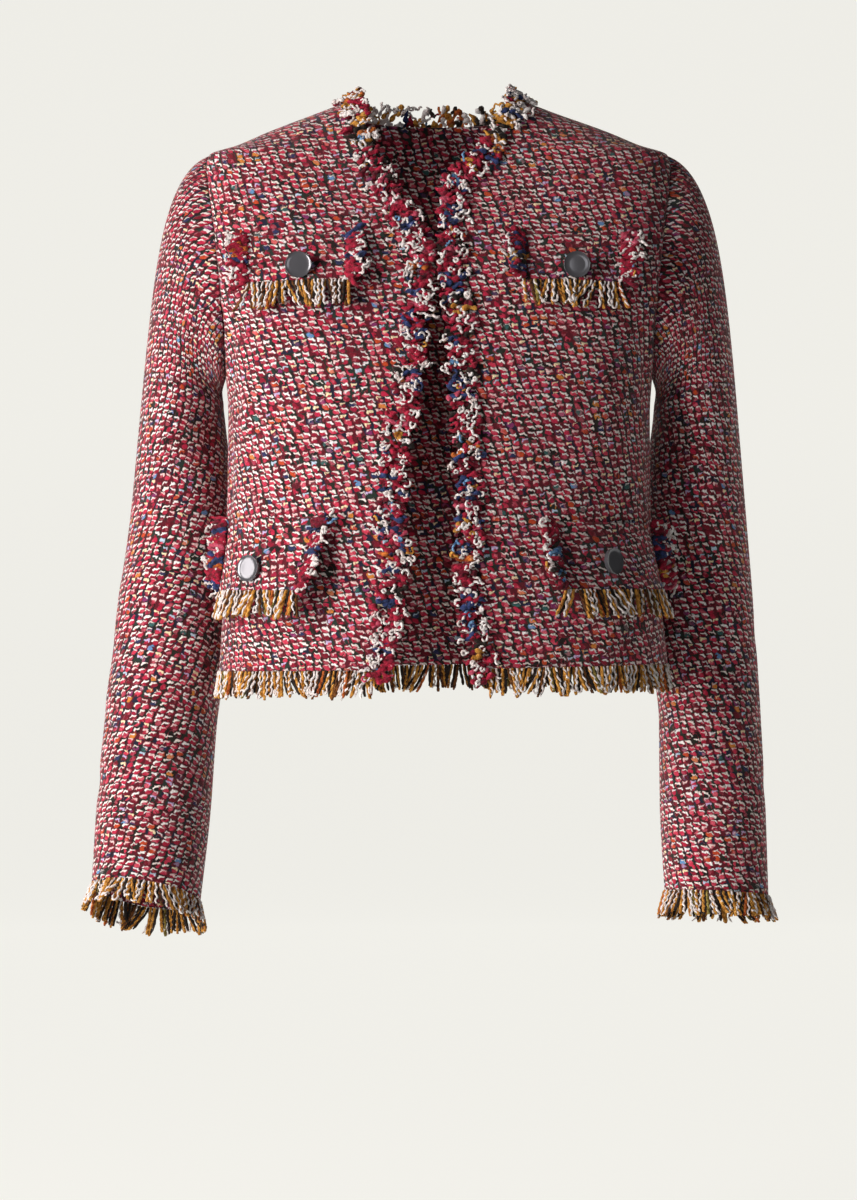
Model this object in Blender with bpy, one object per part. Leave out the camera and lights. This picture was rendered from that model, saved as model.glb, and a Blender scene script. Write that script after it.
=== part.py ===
"""A cropped collarless tweed jacket, hollow as when worn: back, two fronts and two sleeves, four pocket
flaps with a button on each, and frayed edges. Metres, +Z up. The wearer faces -Y, and the origin is
between the two points where the shoulder seams meet the neck. "right" and "left" are the wearer's."""

import math
from bisect import bisect_right
from functools import partial

import bmesh
import bpy
from mathutils import Vector

# Cloth and seams.
CLOTH = 0.0025
SEAM_GAP = 0.0004
LAY_GAP = 0.0010
COLLAR_LAY_GAP = 0.0015
TRIM_WALL = 0.006
FRINGE_WALL = 0.004

# Heights of the garment's landmarks.
HEM_Z = -0.4815
HEM_RISE = 0.016
UNDERARM_Z = -0.236
SHOULDER_TIP_Z = -0.0475
NECK_POINT_Z = 0.003
NAPE_Z = -0.014

# How far the armhole cuts into the front and into the back, as an angle round the body.
ARMHOLE_FRONT = math.radians(31)
ARMHOLE_BACK = math.radians(27)

# Mesh counts of the panels.
ROWS_BELOW_ARM = 8
ROWS_ABOVE_ARM = 10
FRONT_COLUMNS = 8
COLLAR_COLUMNS = 5
SLEEVE_ROWS = 16
CAP_SHARE = 0.42

# Frayed edges: reach past the cloth, and width on it.
EDGE_REACH = 0.008
TRIM_ON_CLOTH = 0.019
TRIM_DROP = 0.012
TRIM_CLEAR = 0.003
HEM_FRINGE = 0.025
HEM_FLARE = 0.004
CUFF_FRINGE = 0.024
CUFF_FLARE = 0.35
FLAP_FRINGE = 0.027
FLAP_CURL = 1.4
SIDE_TUFT = 0.022
TUFT_FLARE = math.radians(20)
HIP_TUFT_FLARE = math.radians(45)

BUTTON_DIAMETER = 0.022
BUTTON_THICKNESS = 0.004
BUTTON_TAPER = 0.0006
BUTTON_RIM = 0.0016
BUTTON_DISH = 0.0009
BUTTON_GAP = 0.0003

# Which way each button faces as it hangs on its shank.
BUTTON_FACES = {
    "chest_right": (-0.12, -0.99, 0.06),
    "chest_left": (0.13, -0.98, 0.06),
    "hip_right": (-0.58, -0.80, 0.10),
    "hip_left": (0.76, -0.64, 0.08),
}

# How far apart two points are taken when a direction is measured: on the body, and as shares of a piece.
NEAR = 1e-4
NEAR_SHARE = 1e-3
EDGE_SHARE = 0.01
FLAP_SHARE = 0.02

SIDES = {"right": -1, "left": 1}

# The hollow form that the panels follow, a row for each level section.
FORM = (
    # z, half width, front depth, back depth, squareness, middle y, middle x
    (-0.520, 0.1930, 0.121, 0.123, 2.05, -0.012, 0.0070),
    (-0.482, 0.1900, 0.120, 0.121, 2.05, -0.012, 0.0065),
    (-0.442, 0.1865, 0.120, 0.116, 2.05, -0.012, 0.0055),
    (-0.400, 0.1830, 0.120, 0.112, 2.05, -0.012, 0.0040),
    (-0.347, 0.1795, 0.119, 0.108, 2.10, -0.011, 0.0025),
    (-0.270, 0.1785, 0.118, 0.112, 2.40, -0.009, 0.0025),
    (-0.236, 0.1805, 0.116, 0.116, 2.60, -0.007, 0.0025),
    (-0.200, 0.1875, 0.112, 0.119, 2.75, -0.005, 0.0025),
    (-0.170, 0.1940, 0.107, 0.119, 2.90, -0.003, 0.0025),
    (-0.130, 0.1990, 0.095, 0.114, 3.00, -0.001, 0.0025),
    (-0.090, 0.2000, 0.078, 0.104, 2.90, 0.0, 0.0025),
    (-0.060, 0.1985, 0.064, 0.094, 2.70, 0.0, 0.0020),
    (-0.0475, 0.1945, 0.0575, 0.089, 2.60, 0.0, 0.0020),
    (-0.040, 0.1725, 0.0535, 0.086, 2.50, 0.0, 0.0020),
    (-0.028, 0.1445, 0.0475, 0.081, 2.40, 0.0, 0.0015),
    (-0.009, 0.0940, 0.040, 0.073, 2.20, 0.0, 0.0),
    (0.003, 0.0660, 0.036, 0.066, 2.00, 0.0, 0.0),
    (0.015, 0.0590, 0.034, 0.062, 2.00, 0.0, 0.0),
    (0.030, 0.0560, 0.033, 0.060, 2.00, 0.0, 0.0),
)

# Where the two front edges hang, as distances out from the middle.
FRONT_EDGES = (
    # z, right, left
    (-0.520, 0.047, 0.038),
    (-0.480, 0.043, 0.034),
    (-0.440, 0.036, 0.026),
    (-0.400, 0.030, 0.022),
    (-0.350, 0.0315, 0.024),
    (-0.300, 0.028, 0.0215),
    (-0.250, 0.019, 0.017),
    (-0.200, 0.015, 0.016),
    (-0.160, 0.011, 0.0105),
    (-0.120, 0.010, 0.009),
    (-0.070, 0.010, 0.009),
)

# The neckline from the shoulder seam down to the front edge: Bezier points as (distance out, z).
NECKLINES = {
    "right": ((0.0660, NECK_POINT_Z), (0.066, -0.035), (0.045, -0.078), (0.010, -0.126)),
    "left": ((0.0660, NECK_POINT_Z), (0.062, -0.030), (0.036, -0.056), (0.009, -0.080)),
}

# Sections of the two sleeves from the upper arm to the cuff.
SLEEVES = {
    # z, outer x, inner x, middle y, half depth, front lift, outer lift
    "right": (
        (-0.270, 0.2540, 0.1810, 0.030, 0.061, 0.00, 0.00),
        (-0.360, 0.2640, 0.1735, 0.046, 0.057, 0.04, 0.03),
        (-0.450, 0.2770, 0.1780, 0.052, 0.054, 0.10, 0.06),
        (-0.530, 0.2850, 0.1890, 0.044, 0.051, 0.18, 0.09),
        (-0.600, 0.2900, 0.1930, 0.022, 0.048, 0.27, 0.12),
        (-0.674, 0.2920, 0.2000, -0.008, 0.045, 0.34, 0.15),
    ),
    "left": (
        (-0.270, 0.2590, 0.1860, 0.030, 0.061, 0.00, 0.00),
        (-0.360, 0.2680, 0.1780, 0.047, 0.057, 0.02, 0.00),
        (-0.450, 0.2760, 0.1820, 0.056, 0.054, 0.05, 0.00),
        (-0.530, 0.2810, 0.1930, 0.055, 0.051, 0.08, 0.00),
        (-0.600, 0.2840, 0.1930, 0.045, 0.048, 0.10, -0.02),
        (-0.676, 0.2850, 0.1960, 0.028, 0.045, 0.12, -0.05),
    ),
}

# The sleeve leaves the armhole along these downward slopes.
SLOPE_AT_UNDERARM = math.radians(72)
SLOPE_AT_SHOULDER = math.radians(20)
CAP_LEAN = -0.1
CAP_FULLNESS = 0.042
CAP_LEAD = 1 / 3
CAP_TRAIL = 0.55

# Pocket flaps, as distances out on the body at the flap's top, and the button's place on each.
FLAPS = {
    # side, top z, inner x, outer x, height, drift out, stand off inside, outside, button share, drop
    "chest_right": ("right", -0.124, 0.071, 0.157, 0.0400, 0.000, 0.007, 0.006, 0.44, 0.030),
    "chest_left": ("left", -0.124, 0.070, 0.154, 0.0400, 0.000, 0.007, 0.006, 0.50, 0.030),
    "hip_right": ("right", -0.357, 0.096, 0.1725, 0.0600, 0.007, 0.018, 0.006, 0.46, 0.043),
    "hip_left": ("left", -0.361, 0.094, 0.1775, 0.0560, 0.003, 0.018, 0.006, 0.36, 0.034),
}


def clear_scene():
    for leftover in list(bpy.data.objects):
        bpy.data.objects.remove(leftover)


def finish(name, colour, roughness, metallic=0.0):
    """A plain Principled material, in linear colour."""
    material = bpy.data.materials.get(name)
    if material:
        return material
    material = bpy.data.materials.new(name)
    material.use_nodes = True
    shader = material.node_tree.nodes["Principled BSDF"]
    shader.inputs["Base Color"].default_value = (*colour, 1.0)
    shader.inputs["Roughness"].default_value = roughness
    shader.inputs["Metallic"].default_value = metallic
    return material


def tweed():
    return finish("tweed", (0.30, 0.05, 0.08), 0.9)


def weft_fray():
    return finish("weft_fray", (0.36, 0.03, 0.06), 0.95)


def warp_fray():
    return finish("warp_fray", (0.48, 0.28, 0.10), 0.95)


def button_enamel():
    return finish("button_enamel", (0.05, 0.05, 0.055), 0.18, 0.6)


def mix(a, b, share):
    return a + (b - a) * share


def bezier(points, t):
    """A point on a cubic Bezier through Vectors or numbers."""
    start, lead, trail, end = points
    back = 1 - t
    return start * back**3 + lead * 3 * back * back * t + trail * 3 * back * t * t + end * t**3


def reader(rows, column):
    """Reads one column of a table smoothly against its first column, with no overshoot."""
    keys = [row[0] for row in rows]
    values = [row[column] for row in rows]
    if keys[0] > keys[-1]:
        keys.reverse()
        values.reverse()
    spans = [b - a for a, b in zip(keys, keys[1:])]
    rises = [(b - a) / span for a, b, span in zip(values, values[1:], spans)]
    slopes = [rises[0]]
    for before, after in zip(rises, rises[1:]):
        slopes.append(2 * before * after / (before + after) if before * after > 0 else 0.0)
    slopes.append(rises[-1])

    def read(key):
        key = min(max(key, keys[0]), keys[-1])
        i = min(bisect_right(keys, key), len(keys) - 1) - 1
        t = (key - keys[i]) / spans[i]
        ends = mix(values[i], values[i + 1], t * t * (3 - 2 * t))
        swing = slopes[i] * t * (1 - t) ** 2 - slopes[i + 1] * t * t * (1 - t)
        return ends + swing * spans[i]

    return read


half_width, front_depth, back_depth, squareness, middle_y, middle_x = (
    reader(FORM, column) for column in range(1, 7)
)
edge_out = {"right": reader(FRONT_EDGES, 1), "left": reader(FRONT_EDGES, 2)}


def form(angle, z):
    """A point of the body form: angle 0 is the middle of the front, and +90 degrees the left side."""
    power = squareness(z)
    across, along = math.sin(angle), math.cos(angle)
    reach = (abs(across) ** power + abs(along) ** power) ** (-1 / power)
    depth = front_depth(z) if along > 0 else back_depth(z)
    return Vector((middle_x(z) + half_width(z) * reach * across, middle_y(z) - depth * reach * along, z))


def form_slopes(angle, z):
    """How the form moves for each radian round the body, and for each metre up it."""
    round_body = (form(angle + NEAR, z) - form(angle - NEAR, z)) / (2 * NEAR)
    up_body = (form(angle, z + NEAR) - form(angle, z - NEAR)) / (2 * NEAR)
    return round_body, up_body


def form_normal(angle, z):
    round_body, up_body = form_slopes(angle, z)
    return round_body.cross(up_body).normalized()


def skin(angle, z, lift=0.0):
    """A point of the form moved out by lift, or in where lift is negative."""
    return form(angle, z) + form_normal(angle, z) * lift


def angle_at(x, z):
    """The angle of the front point of the form that has this x."""
    share = min(abs(x - middle_x(z)) / half_width(z), 1 - 1e-9) ** squareness(z)
    return math.copysign(math.atan((share / (1 - share)) ** (1 / squareness(z))), x - middle_x(z))


def evenly(points, lay):
    """A function of 0 to 1 that runs at even speed along the form through these (angle, z) points."""
    placed = [lay(*point) for point in points]
    run = [0.0]
    for a, b in zip(placed, placed[1:]):
        run.append(run[-1] + (b - a).length)

    def at(share):
        want = min(max(share, 0.0), 1.0) * run[-1]
        i = min(max(bisect_right(run, want), 1), len(run) - 1)
        t = (want - run[i - 1]) / max(run[i] - run[i - 1], 1e-12)
        return mix(points[i - 1][0], points[i][0], t), mix(points[i - 1][1], points[i][1], t)

    return at


def hem_z(angle):
    """The hem is a little lower on the right side."""
    return HEM_Z + HEM_RISE * form(angle, HEM_Z).x


def front_edge(side, z):
    return angle_at(SIDES[side] * edge_out[side](z), z)


def neckline(side, samples=24):
    """The neckline's (angle, z) points from the front edge up to the shoulder seam."""
    points = []
    for i in range(samples + 1):
        out, z = (bezier([p[axis] for p in NECKLINES[side]], 1 - i / samples) for axis in (0, 1))
        points.append((angle_at(SIDES[side] * out, z), z))
    points[-1] = (SIDES[side] * math.pi / 2, NECK_POINT_Z)
    return points


def front_rail(side, lowest):
    """The front edge from a height up to the neckline, and on to the shoulder seam."""
    top = NECKLINES[side][-1][1]
    samples = 24
    heights = [mix(lowest, top, i / samples) for i in range(samples)]
    return evenly([(front_edge(side, z), z) for z in heights] + neckline(side), form)


def collar(side, samples=12):
    """The back neckline's (angle, z) points from the nape round to the shoulder seam."""
    turn = SIDES[side] * math.pi
    shares = [i / samples for i in range(samples + 1)]
    return [(turn * (1 - t / 2), mix(NAPE_Z, NECK_POINT_Z, t * t)) for t in shares]


def armhole(side, half, share):
    """The armhole's (angle, z), from the underarm up to the shoulder tip, on the front or back half."""
    cut = ARMHOLE_FRONT if half == "front" else -ARMHOLE_BACK
    turn = math.pi * share
    z = mix(UNDERARM_Z, SHOULDER_TIP_Z, (1 - math.cos(turn)) / 2)
    return SIDES[side] * (math.pi / 2 - cut * math.sin(turn)), z


def seam_turn(half, z):
    """Half of a seam's gap, as an angle at the side or shoulder seam."""
    depth = front_depth(z) if half == "front" else back_depth(z)
    return SEAM_GAP / 2 / depth


def blended(left, right, low, high, u, v):
    """A Coons patch: the (angle, z) at (u, v) between four sides, each a function that meets the next."""
    point = []
    for i in (0, 1):
        across = mix(left(v)[i], right(v)[i], u)
        upward = mix(low(u)[i], high(u)[i], v)
        corners = mix(mix(low(0.0)[i], low(1.0)[i], u), mix(high(0.0)[i], high(1.0)[i], u), v)
        point.append(across + upward - corners)
    return point


def panel(side, half, inner, top):
    """One quarter of the body: place(u, v, depth) runs from the middle out, and from the hem up."""
    corner = SIDES[side] * math.pi / 2

    def arm(rise):
        return armhole(side, half, rise)

    def floor(u):
        return mix(inner(0.0)[0], corner, u), UNDERARM_Z

    def place(u, v, depth=0.0):
        row = v * (ROWS_BELOW_ARM + ROWS_ABOVE_ARM)
        if row <= ROWS_BELOW_ARM:
            rise = row / ROWS_BELOW_ARM
            middle = front_edge(side, mix(HEM_Z, UNDERARM_Z, rise)) if half == "front" else inner(0.0)[0]
            angle = mix(middle, corner, u)
            z = mix(hem_z(angle), UNDERARM_Z, rise)
        else:
            angle, z = blended(inner, arm, floor, top, u, (row - ROWS_BELOW_ARM) / ROWS_ABOVE_ARM)
        back_off = seam_turn(half, z) * (1 if half == "front" else -1)
        limit = abs(corner) - back_off
        turned = min(abs(angle), limit) if half == "front" else max(abs(angle), limit)
        return skin(math.copysign(turned, corner), z, -depth)

    return place


def wall(name, columns, rows, place, thickness, material, tube=False):
    """A cloth piece: a grid laid by place(u, v, depth), extruded to its thickness into one closed solid."""
    mesh = bmesh.new()
    bmesh.ops.create_grid(mesh, x_segments=columns, y_segments=rows, size=0.5)
    across = mesh.verts.layers.float.new("across")
    along = mesh.verts.layers.float.new("along")
    for vert in mesh.verts:
        vert[across] = vert.co.x + 0.5
        vert[along] = vert.co.y + 0.5
        vert.co = place(vert[across], vert[along], 0.0)
    if tube:
        bmesh.ops.remove_doubles(mesh, verts=mesh.verts, dist=1e-6)
    grown = bmesh.ops.extrude_face_region(mesh, geom=mesh.faces[:], use_keep_orig=True)
    for vert in grown["geom"]:
        if isinstance(vert, bmesh.types.BMVert):
            vert.co = place(vert[across], vert[along], thickness)
    bmesh.ops.triangulate(mesh, faces=mesh.faces)
    bmesh.ops.recalc_face_normals(mesh, faces=mesh.faces)
    return solid(name, mesh, material)


def solid(name, mesh, material):
    data = bpy.data.meshes.new(name)
    mesh.to_mesh(data)
    mesh.free()
    data.materials.append(material)
    data.shade_smooth()
    data.set_sharp_from_angle(angle=math.radians(40))
    piece = bpy.data.objects.new(name, data)
    bpy.context.scene.collection.objects.link(piece)
    return piece


def shoulder(side, share):
    """The shoulder seam's (angle, z) from the neck out to the armhole."""
    return SIDES[side] * math.pi / 2, mix(NECK_POINT_Z, SHOULDER_TIP_Z, share)


def make_fronts():
    for side in SIDES:
        place = panel(side, "front", front_rail(side, UNDERARM_Z), partial(shoulder, side))
        wall(f"front_{side}", FRONT_COLUMNS, ROWS_BELOW_ARM + ROWS_ABOVE_ARM, place, CLOTH, tweed())


def back_quarter(side):
    """Half of the back: its top side runs along the neckline and then the shoulder seam."""
    neck = evenly(collar(side), form)
    neck_share = COLLAR_COLUMNS / (COLLAR_COLUMNS + FRONT_COLUMNS)

    def spine(rise):
        return SIDES[side] * math.pi, mix(UNDERARM_Z, NAPE_Z, rise)

    def top(u):
        if u <= neck_share:
            return neck(u / neck_share)
        return shoulder(side, (u - neck_share) / (1 - neck_share))

    return panel(side, "back", spine, top)


def make_back():
    """One piece from side to side, from two mirrored quarters."""
    quarters = {side: back_quarter(side) for side in SIDES}

    def place(u, v, depth):
        return quarters["right" if u < 0.5 else "left"](abs(1 - 2 * u), v, depth)

    columns = 2 * (COLLAR_COLUMNS + FRONT_COLUMNS)
    wall("back", columns, ROWS_BELOW_ARM + ROWS_ABOVE_ARM, place, CLOTH, tweed())


def sleeve_ring(side, readers, turn, z):
    """A point of the sleeve at a level: turn 0 is next to the body and half a turn is outside."""
    outer, inner, middle, depth, front_lift, outer_lift = (read(z) for read in readers)
    out = mix(inner, outer, (1 - math.cos(turn)) / 2)
    forward = depth * math.sin(turn)
    lift = front_lift * forward + outer_lift * (out - (inner + outer) / 2)
    return Vector((SIDES[side] * out, middle - forward, z + lift))


def sleeve_surface(side):
    """surface(u, v): u goes round from the underarm by the front, v from the armhole to the cuff."""
    readers = [reader(SLEEVES[side], column) for column in range(1, 7)]
    top, cuff = SLEEVES[side][0][0], SLEEVES[side][-1][0]

    def surface(u, v):
        turn = 2 * math.pi * (u % 1.0)
        if v >= CAP_SHARE:
            return sleeve_ring(side, readers, turn, mix(top, cuff, (v - CAP_SHARE) / (1 - CAP_SHARE)))
        half, share = ("front", turn / math.pi) if turn <= math.pi else ("back", 2 - turn / math.pi)
        slope = mix(SLOPE_AT_UNDERARM, SLOPE_AT_SHOULDER, (1 - math.cos(turn)) / 2)
        leave = Vector((SIDES[side] * math.cos(slope), CAP_LEAN * math.sin(turn), -math.sin(slope)))
        leave.normalize()
        start = form(*armhole(side, half, share)) + leave * SEAM_GAP
        end = sleeve_ring(side, readers, turn, top)
        arrive = (sleeve_ring(side, readers, turn, top - NEAR) - end).normalized()
        length = (end - start).length
        lead = start + leave * min(CAP_FULLNESS, length * CAP_LEAD)
        return bezier((start, lead, end - arrive * length * CAP_TRAIL, end), v / CAP_SHARE)

    return surface


def walled(surface, outward):
    """place(u, v, depth) for a surface of (u, v), with the wall on its inner side."""

    def place(u, v, depth=0.0):
        low, high = max(v - NEAR_SHARE, 0.0), min(v + NEAR_SHARE, 1.0)
        round_it = surface(u + NEAR_SHARE, v) - surface(u - NEAR_SHARE, v)
        along_it = surface(u, high) - surface(u, low)
        return surface(u, v) - round_it.cross(along_it).normalized() * outward * depth

    return place


def make_sleeves():
    for side, sign in SIDES.items():
        place = walled(sleeve_surface(side), -sign)
        wall(f"sleeve_{side}", 2 * ROWS_ABOVE_ARM, SLEEVE_ROWS, place, CLOTH, tweed(), tube=True)


def flap_surface(name):
    """surface(u, v, lift): u from the inner edge out, v from the sewn top down, standing off below."""
    side, top, inner, outer, height, drift, stand_in, stand_out = FLAPS[name][:8]
    sign = SIDES[side]

    def surface(u, v, lift):
        z = top - height * v
        near = angle_at(sign * (inner + drift * v), z)
        far = angle_at(sign * outer, top) + sign * drift * v
        stand = mix(stand_in, stand_out, u) * max(v, 0.0) ** FLAP_CURL
        return skin(mix(near, far, u), z, lift + stand)

    return surface


def make_flaps():
    for name in FLAPS:
        surface = flap_surface(name)

        def place(u, v, depth, surface=surface):
            return surface(u, v, SEAM_GAP + CLOTH - depth)

        wall(f"flap_{name}", 6, 4, place, CLOTH, tweed())
        make_flap_fringe(name, surface)
        for end in ("inner", "outer"):
            make_flap_tuft(name, surface, end)
        make_button(name, surface)


def flap_frame(surface, u, v):
    """The flap's middle point there, and its outward, downward and sideways directions."""
    middle = SEAM_GAP + CLOTH / 2
    point = surface(u, v, middle)
    down = (surface(u, v + FLAP_SHARE, middle) - surface(u, v - FLAP_SHARE, middle)).normalized()
    sideways = (surface(u + FLAP_SHARE, v, middle) - surface(u - FLAP_SHARE, v, middle)).normalized()
    away = down.cross(sideways).normalized()
    if away.dot(surface(u, v, CLOTH) - surface(u, v, 0.0)) < 0:
        away.negate()
    return point, away, down, sideways


def make_flap_fringe(name, surface):
    """The warp yarns that hang from the flap's lower edge."""

    def place(u, v, depth):
        point, away, down, _ = flap_frame(surface, u, 1.0)
        return point + down * (LAY_GAP + FLAP_FRINGE * v) + away * (FRINGE_WALL / 2 - depth)

    wall(f"fringe_flap_{name}", 6, 2, place, FRINGE_WALL, warp_fray())


def make_flap_tuft(name, surface, end):
    """The weft yarns that stand out from one side of the flap."""
    edge, sign = (0.0, -1) if end == "inner" else (1.0, 1)
    flare = HIP_TUFT_FLARE if end == "outer" and name.startswith("hip") else TUFT_FLARE

    def place(u, v, depth):
        point, away, _, sideways = flap_frame(surface, edge, v)
        out = sideways * sign * math.cos(flare) + away * math.sin(flare)
        over = (away * math.cos(flare) - sideways * sign * math.sin(flare)).normalized()
        start = SEAM_GAP + FRINGE_WALL / 2 * math.sin(flare)
        return point + out * (start + SIDE_TUFT * u) + over * (FRINGE_WALL / 2 - depth)

    wall(f"tuft_{name}_{end}", 2, 4, place, FRINGE_WALL, weft_fray())


def make_button(name, surface):
    """A flat round button with a slim rim, hung on its shank so that its lowest edge meets the flap."""
    height, share, drop = FLAPS[name][4], *FLAPS[name][8:]
    _, away, _, _ = flap_frame(surface, share, drop / height)
    facing = Vector(BUTTON_FACES[name]).normalized()
    lean = facing.cross(away).length * (BUTTON_DIAMETER / 2 - BUTTON_TAPER)
    seat = surface(share, drop / height, SEAM_GAP + CLOTH) + away * (BUTTON_GAP + lean)
    mesh = bmesh.new()
    radius = BUTTON_DIAMETER / 2
    bmesh.ops.create_cone(
        mesh, cap_ends=True, segments=24, radius1=radius - BUTTON_TAPER, radius2=radius,
        depth=BUTTON_THICKNESS,
    )
    face = max(mesh.faces, key=lambda f: f.calc_center_median().z)
    bmesh.ops.inset_region(mesh, faces=[face], thickness=BUTTON_RIM)
    bmesh.ops.translate(mesh, verts=face.verts, vec=(0, 0, -BUTTON_DISH))
    bmesh.ops.translate(mesh, verts=mesh.verts, vec=(0, 0, BUTTON_THICKNESS / 2))
    button = solid(f"button_{name}", mesh, button_enamel())
    button.location = seat
    button.rotation_euler = facing.to_track_quat("Z", "Y").to_euler()
    return button


def beside(rail, share, across):
    """The (angle, z) that lies across metres to the right of a rail, seen along it from outside."""
    angle, z = rail(share)
    ahead = form(*rail(min(share + NEAR_SHARE, 1.0))) - form(*rail(max(share - NEAR_SHARE, 0.0)))
    sideways = ahead.cross(form_normal(angle, z)).normalized() * across
    round_body, up_body = form_slopes(angle, z)
    rr, ru, uu = round_body.dot(round_body), round_body.dot(up_body), up_body.dot(up_body)
    r, u = sideways.dot(round_body), sideways.dot(up_body)
    scale = rr * uu - ru * ru
    return angle + (r * uu - u * ru) / scale, z + (u * rr - r * ru) / scale


def edge_strip(rail, half, sign):
    """place(u, v, depth) of a frayed strip that lies on a panel and reaches past its edge."""

    def place(u, v, depth):
        angle, z = beside(rail, v, sign * mix(-EDGE_REACH, TRIM_ON_CLOTH, u))
        middle = 0.0 if half == "front" else math.pi
        limit = math.pi / 2 - seam_turn(half, z)
        gap = LAY_GAP if half == "front" else COLLAR_LAY_GAP
        return skin(middle + min(max(angle - middle, -limit), limit), z, gap + TRIM_WALL - depth)

    return place


def make_trims():
    for side, sign in SIDES.items():
        rail = front_rail(side, HEM_Z - TRIM_DROP)
        place = edge_strip(rail, "front", sign)
        wall(f"trim_front_{side}", 3, 36, place, TRIM_WALL, weft_fray())
    right_to_nape = [(angle + 2 * math.pi, z) for angle, z in reversed(collar("right"))]
    place = edge_strip(evenly(right_to_nape + collar("left")[1:], form), "back", 1)
    wall("trim_neck_back", 3, 2 * COLLAR_COLUMNS, place, TRIM_WALL, weft_fray())


def hem_fringe(first, last):
    """place(u, v, depth) of the warp yarns that hang from the hem between two angles."""

    def place(u, v, depth):
        angle = mix(first, last, u)
        z = hem_z(angle)
        away = form_normal(angle, z)
        away.z = 0
        away.normalize()
        out = (FRINGE_WALL - CLOTH) / 2 + HEM_FLARE * v - depth
        return form(angle, z) + away * out - Vector((0, 0, SEAM_GAP + HEM_FRINGE * v))

    return place


def make_hem_fringes():
    for side, sign in SIDES.items():
        trim = angle_at(sign * (edge_out[side](HEM_Z) + TRIM_ON_CLOTH + TRIM_CLEAR), HEM_Z)
        corner = sign * (math.pi / 2 - seam_turn("front", HEM_Z))
        wall(f"fringe_hem_{side}", 8, 1, hem_fringe(trim, corner), FRINGE_WALL, warp_fray())
    turn = math.pi / 2 + seam_turn("back", HEM_Z)
    wall("fringe_hem_back", 16, 1, hem_fringe(turn, 2 * math.pi - turn), FRINGE_WALL, warp_fray())


def make_cuff_fringes():
    """The warp yarns round each cuff, which spread as they leave the edge."""
    for side, sign in SIDES.items():
        surface = sleeve_surface(side)

        def place(u, v, depth, surface=surface, sign=sign):
            edge = surface(u, 1.0)
            along = (edge - surface(u, 1.0 - EDGE_SHARE)).normalized()
            round_it = surface(u + EDGE_SHARE, 1.0) - surface(u - EDGE_SHARE, 1.0)
            away = round_it.cross(along).normalized() * -sign
            out = (FRINGE_WALL - CLOTH) / 2 + CUFF_FLARE * CUFF_FRINGE * v - depth
            return edge + along * (SEAM_GAP + CUFF_FRINGE * v) + away * out

        wall(f"fringe_cuff_{side}", 20, 1, place, FRINGE_WALL, warp_fray(), tube=True)


clear_scene()
make_fronts()
make_back()
make_sleeves()
make_flaps()
make_trims()
make_hem_fringes()
make_cuff_fringes()
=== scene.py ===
"""A cropped collarless tweed jacket in its worn form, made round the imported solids. Metres, +Z up; the
wearer faces -Y, and "right" and "left" are the wearer's."""

import math
import random
from bisect import bisect_right
from functools import partial

import bmesh
import bpy
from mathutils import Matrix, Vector


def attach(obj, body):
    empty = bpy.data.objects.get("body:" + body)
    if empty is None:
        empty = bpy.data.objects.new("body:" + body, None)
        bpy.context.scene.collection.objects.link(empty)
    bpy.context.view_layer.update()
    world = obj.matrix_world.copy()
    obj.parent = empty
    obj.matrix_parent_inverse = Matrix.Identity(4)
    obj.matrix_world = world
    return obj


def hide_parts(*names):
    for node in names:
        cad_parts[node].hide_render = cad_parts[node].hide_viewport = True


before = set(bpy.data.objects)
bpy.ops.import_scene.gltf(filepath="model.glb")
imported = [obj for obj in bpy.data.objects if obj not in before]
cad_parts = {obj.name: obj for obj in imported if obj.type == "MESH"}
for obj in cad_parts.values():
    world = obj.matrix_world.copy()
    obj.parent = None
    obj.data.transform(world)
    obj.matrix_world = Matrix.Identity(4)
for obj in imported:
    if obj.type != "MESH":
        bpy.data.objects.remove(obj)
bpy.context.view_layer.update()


# ---------------------------------------------------------------------------------------------------
# Camera, studio light and backdrop.
# A camera at chest height, large soft lights on the jacket's right, a weak one in front, a dim room
# all round, and a pale paper sweep that runs from the floor up behind.
# ---------------------------------------------------------------------------------------------------

CAMERA_PLACE = (-0.0064, -3.2, -0.425)
CAMERA_LENS = 112.9
FLOOR_Z = -1.05
SWEEP_WIDTH = 18
SWEEP_FRONT = -0.7
SWEEP_BEND = 4.0
SWEEP_RADIUS = 1
SWEEP_HEIGHT = 5.7


def linear(hex_colour):
    """An sRGB hex colour as linear RGBA."""
    parts = [int(hex_colour[i : i + 2], 16) / 255 for i in (1, 3, 5)]
    return (*(c / 12.92 if c <= 0.04045 else ((c + 0.055) / 1.055) ** 2.4 for c in parts), 1.0)


def add(tree, kind, inputs=None, **settings):
    """A new node with its settings, and its inputs set to values or linked to other nodes' outputs."""
    node = tree.nodes.new("ShaderNode" + kind)
    for name, value in settings.items():
        setattr(node, name, value)
    for socket, value in (inputs or {}).items():
        if isinstance(value, bpy.types.NodeSocket):
            tree.links.new(value, node.inputs[socket])
        else:
            node.inputs[socket].default_value = value
    return node


def fresh_material(name):
    """A new material and its Principled shader."""
    material = bpy.data.materials.new(name)
    material.use_nodes = True
    return material, material.node_tree, material.node_tree.nodes["Principled BSDF"]


def soft_light(name, place, aim, size, power, colour):
    data = bpy.data.lights.new(name, "AREA")
    data.shape = "RECTANGLE"
    data.size, data.size_y = size
    data.energy = power
    data.color = linear(colour)[:3]
    light = bpy.data.objects.new(name, data)
    light.location = place
    light.rotation_euler = (Vector(aim) - Vector(place)).to_track_quat("-Z", "Y").to_euler()
    bpy.context.scene.collection.objects.link(light)


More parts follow.
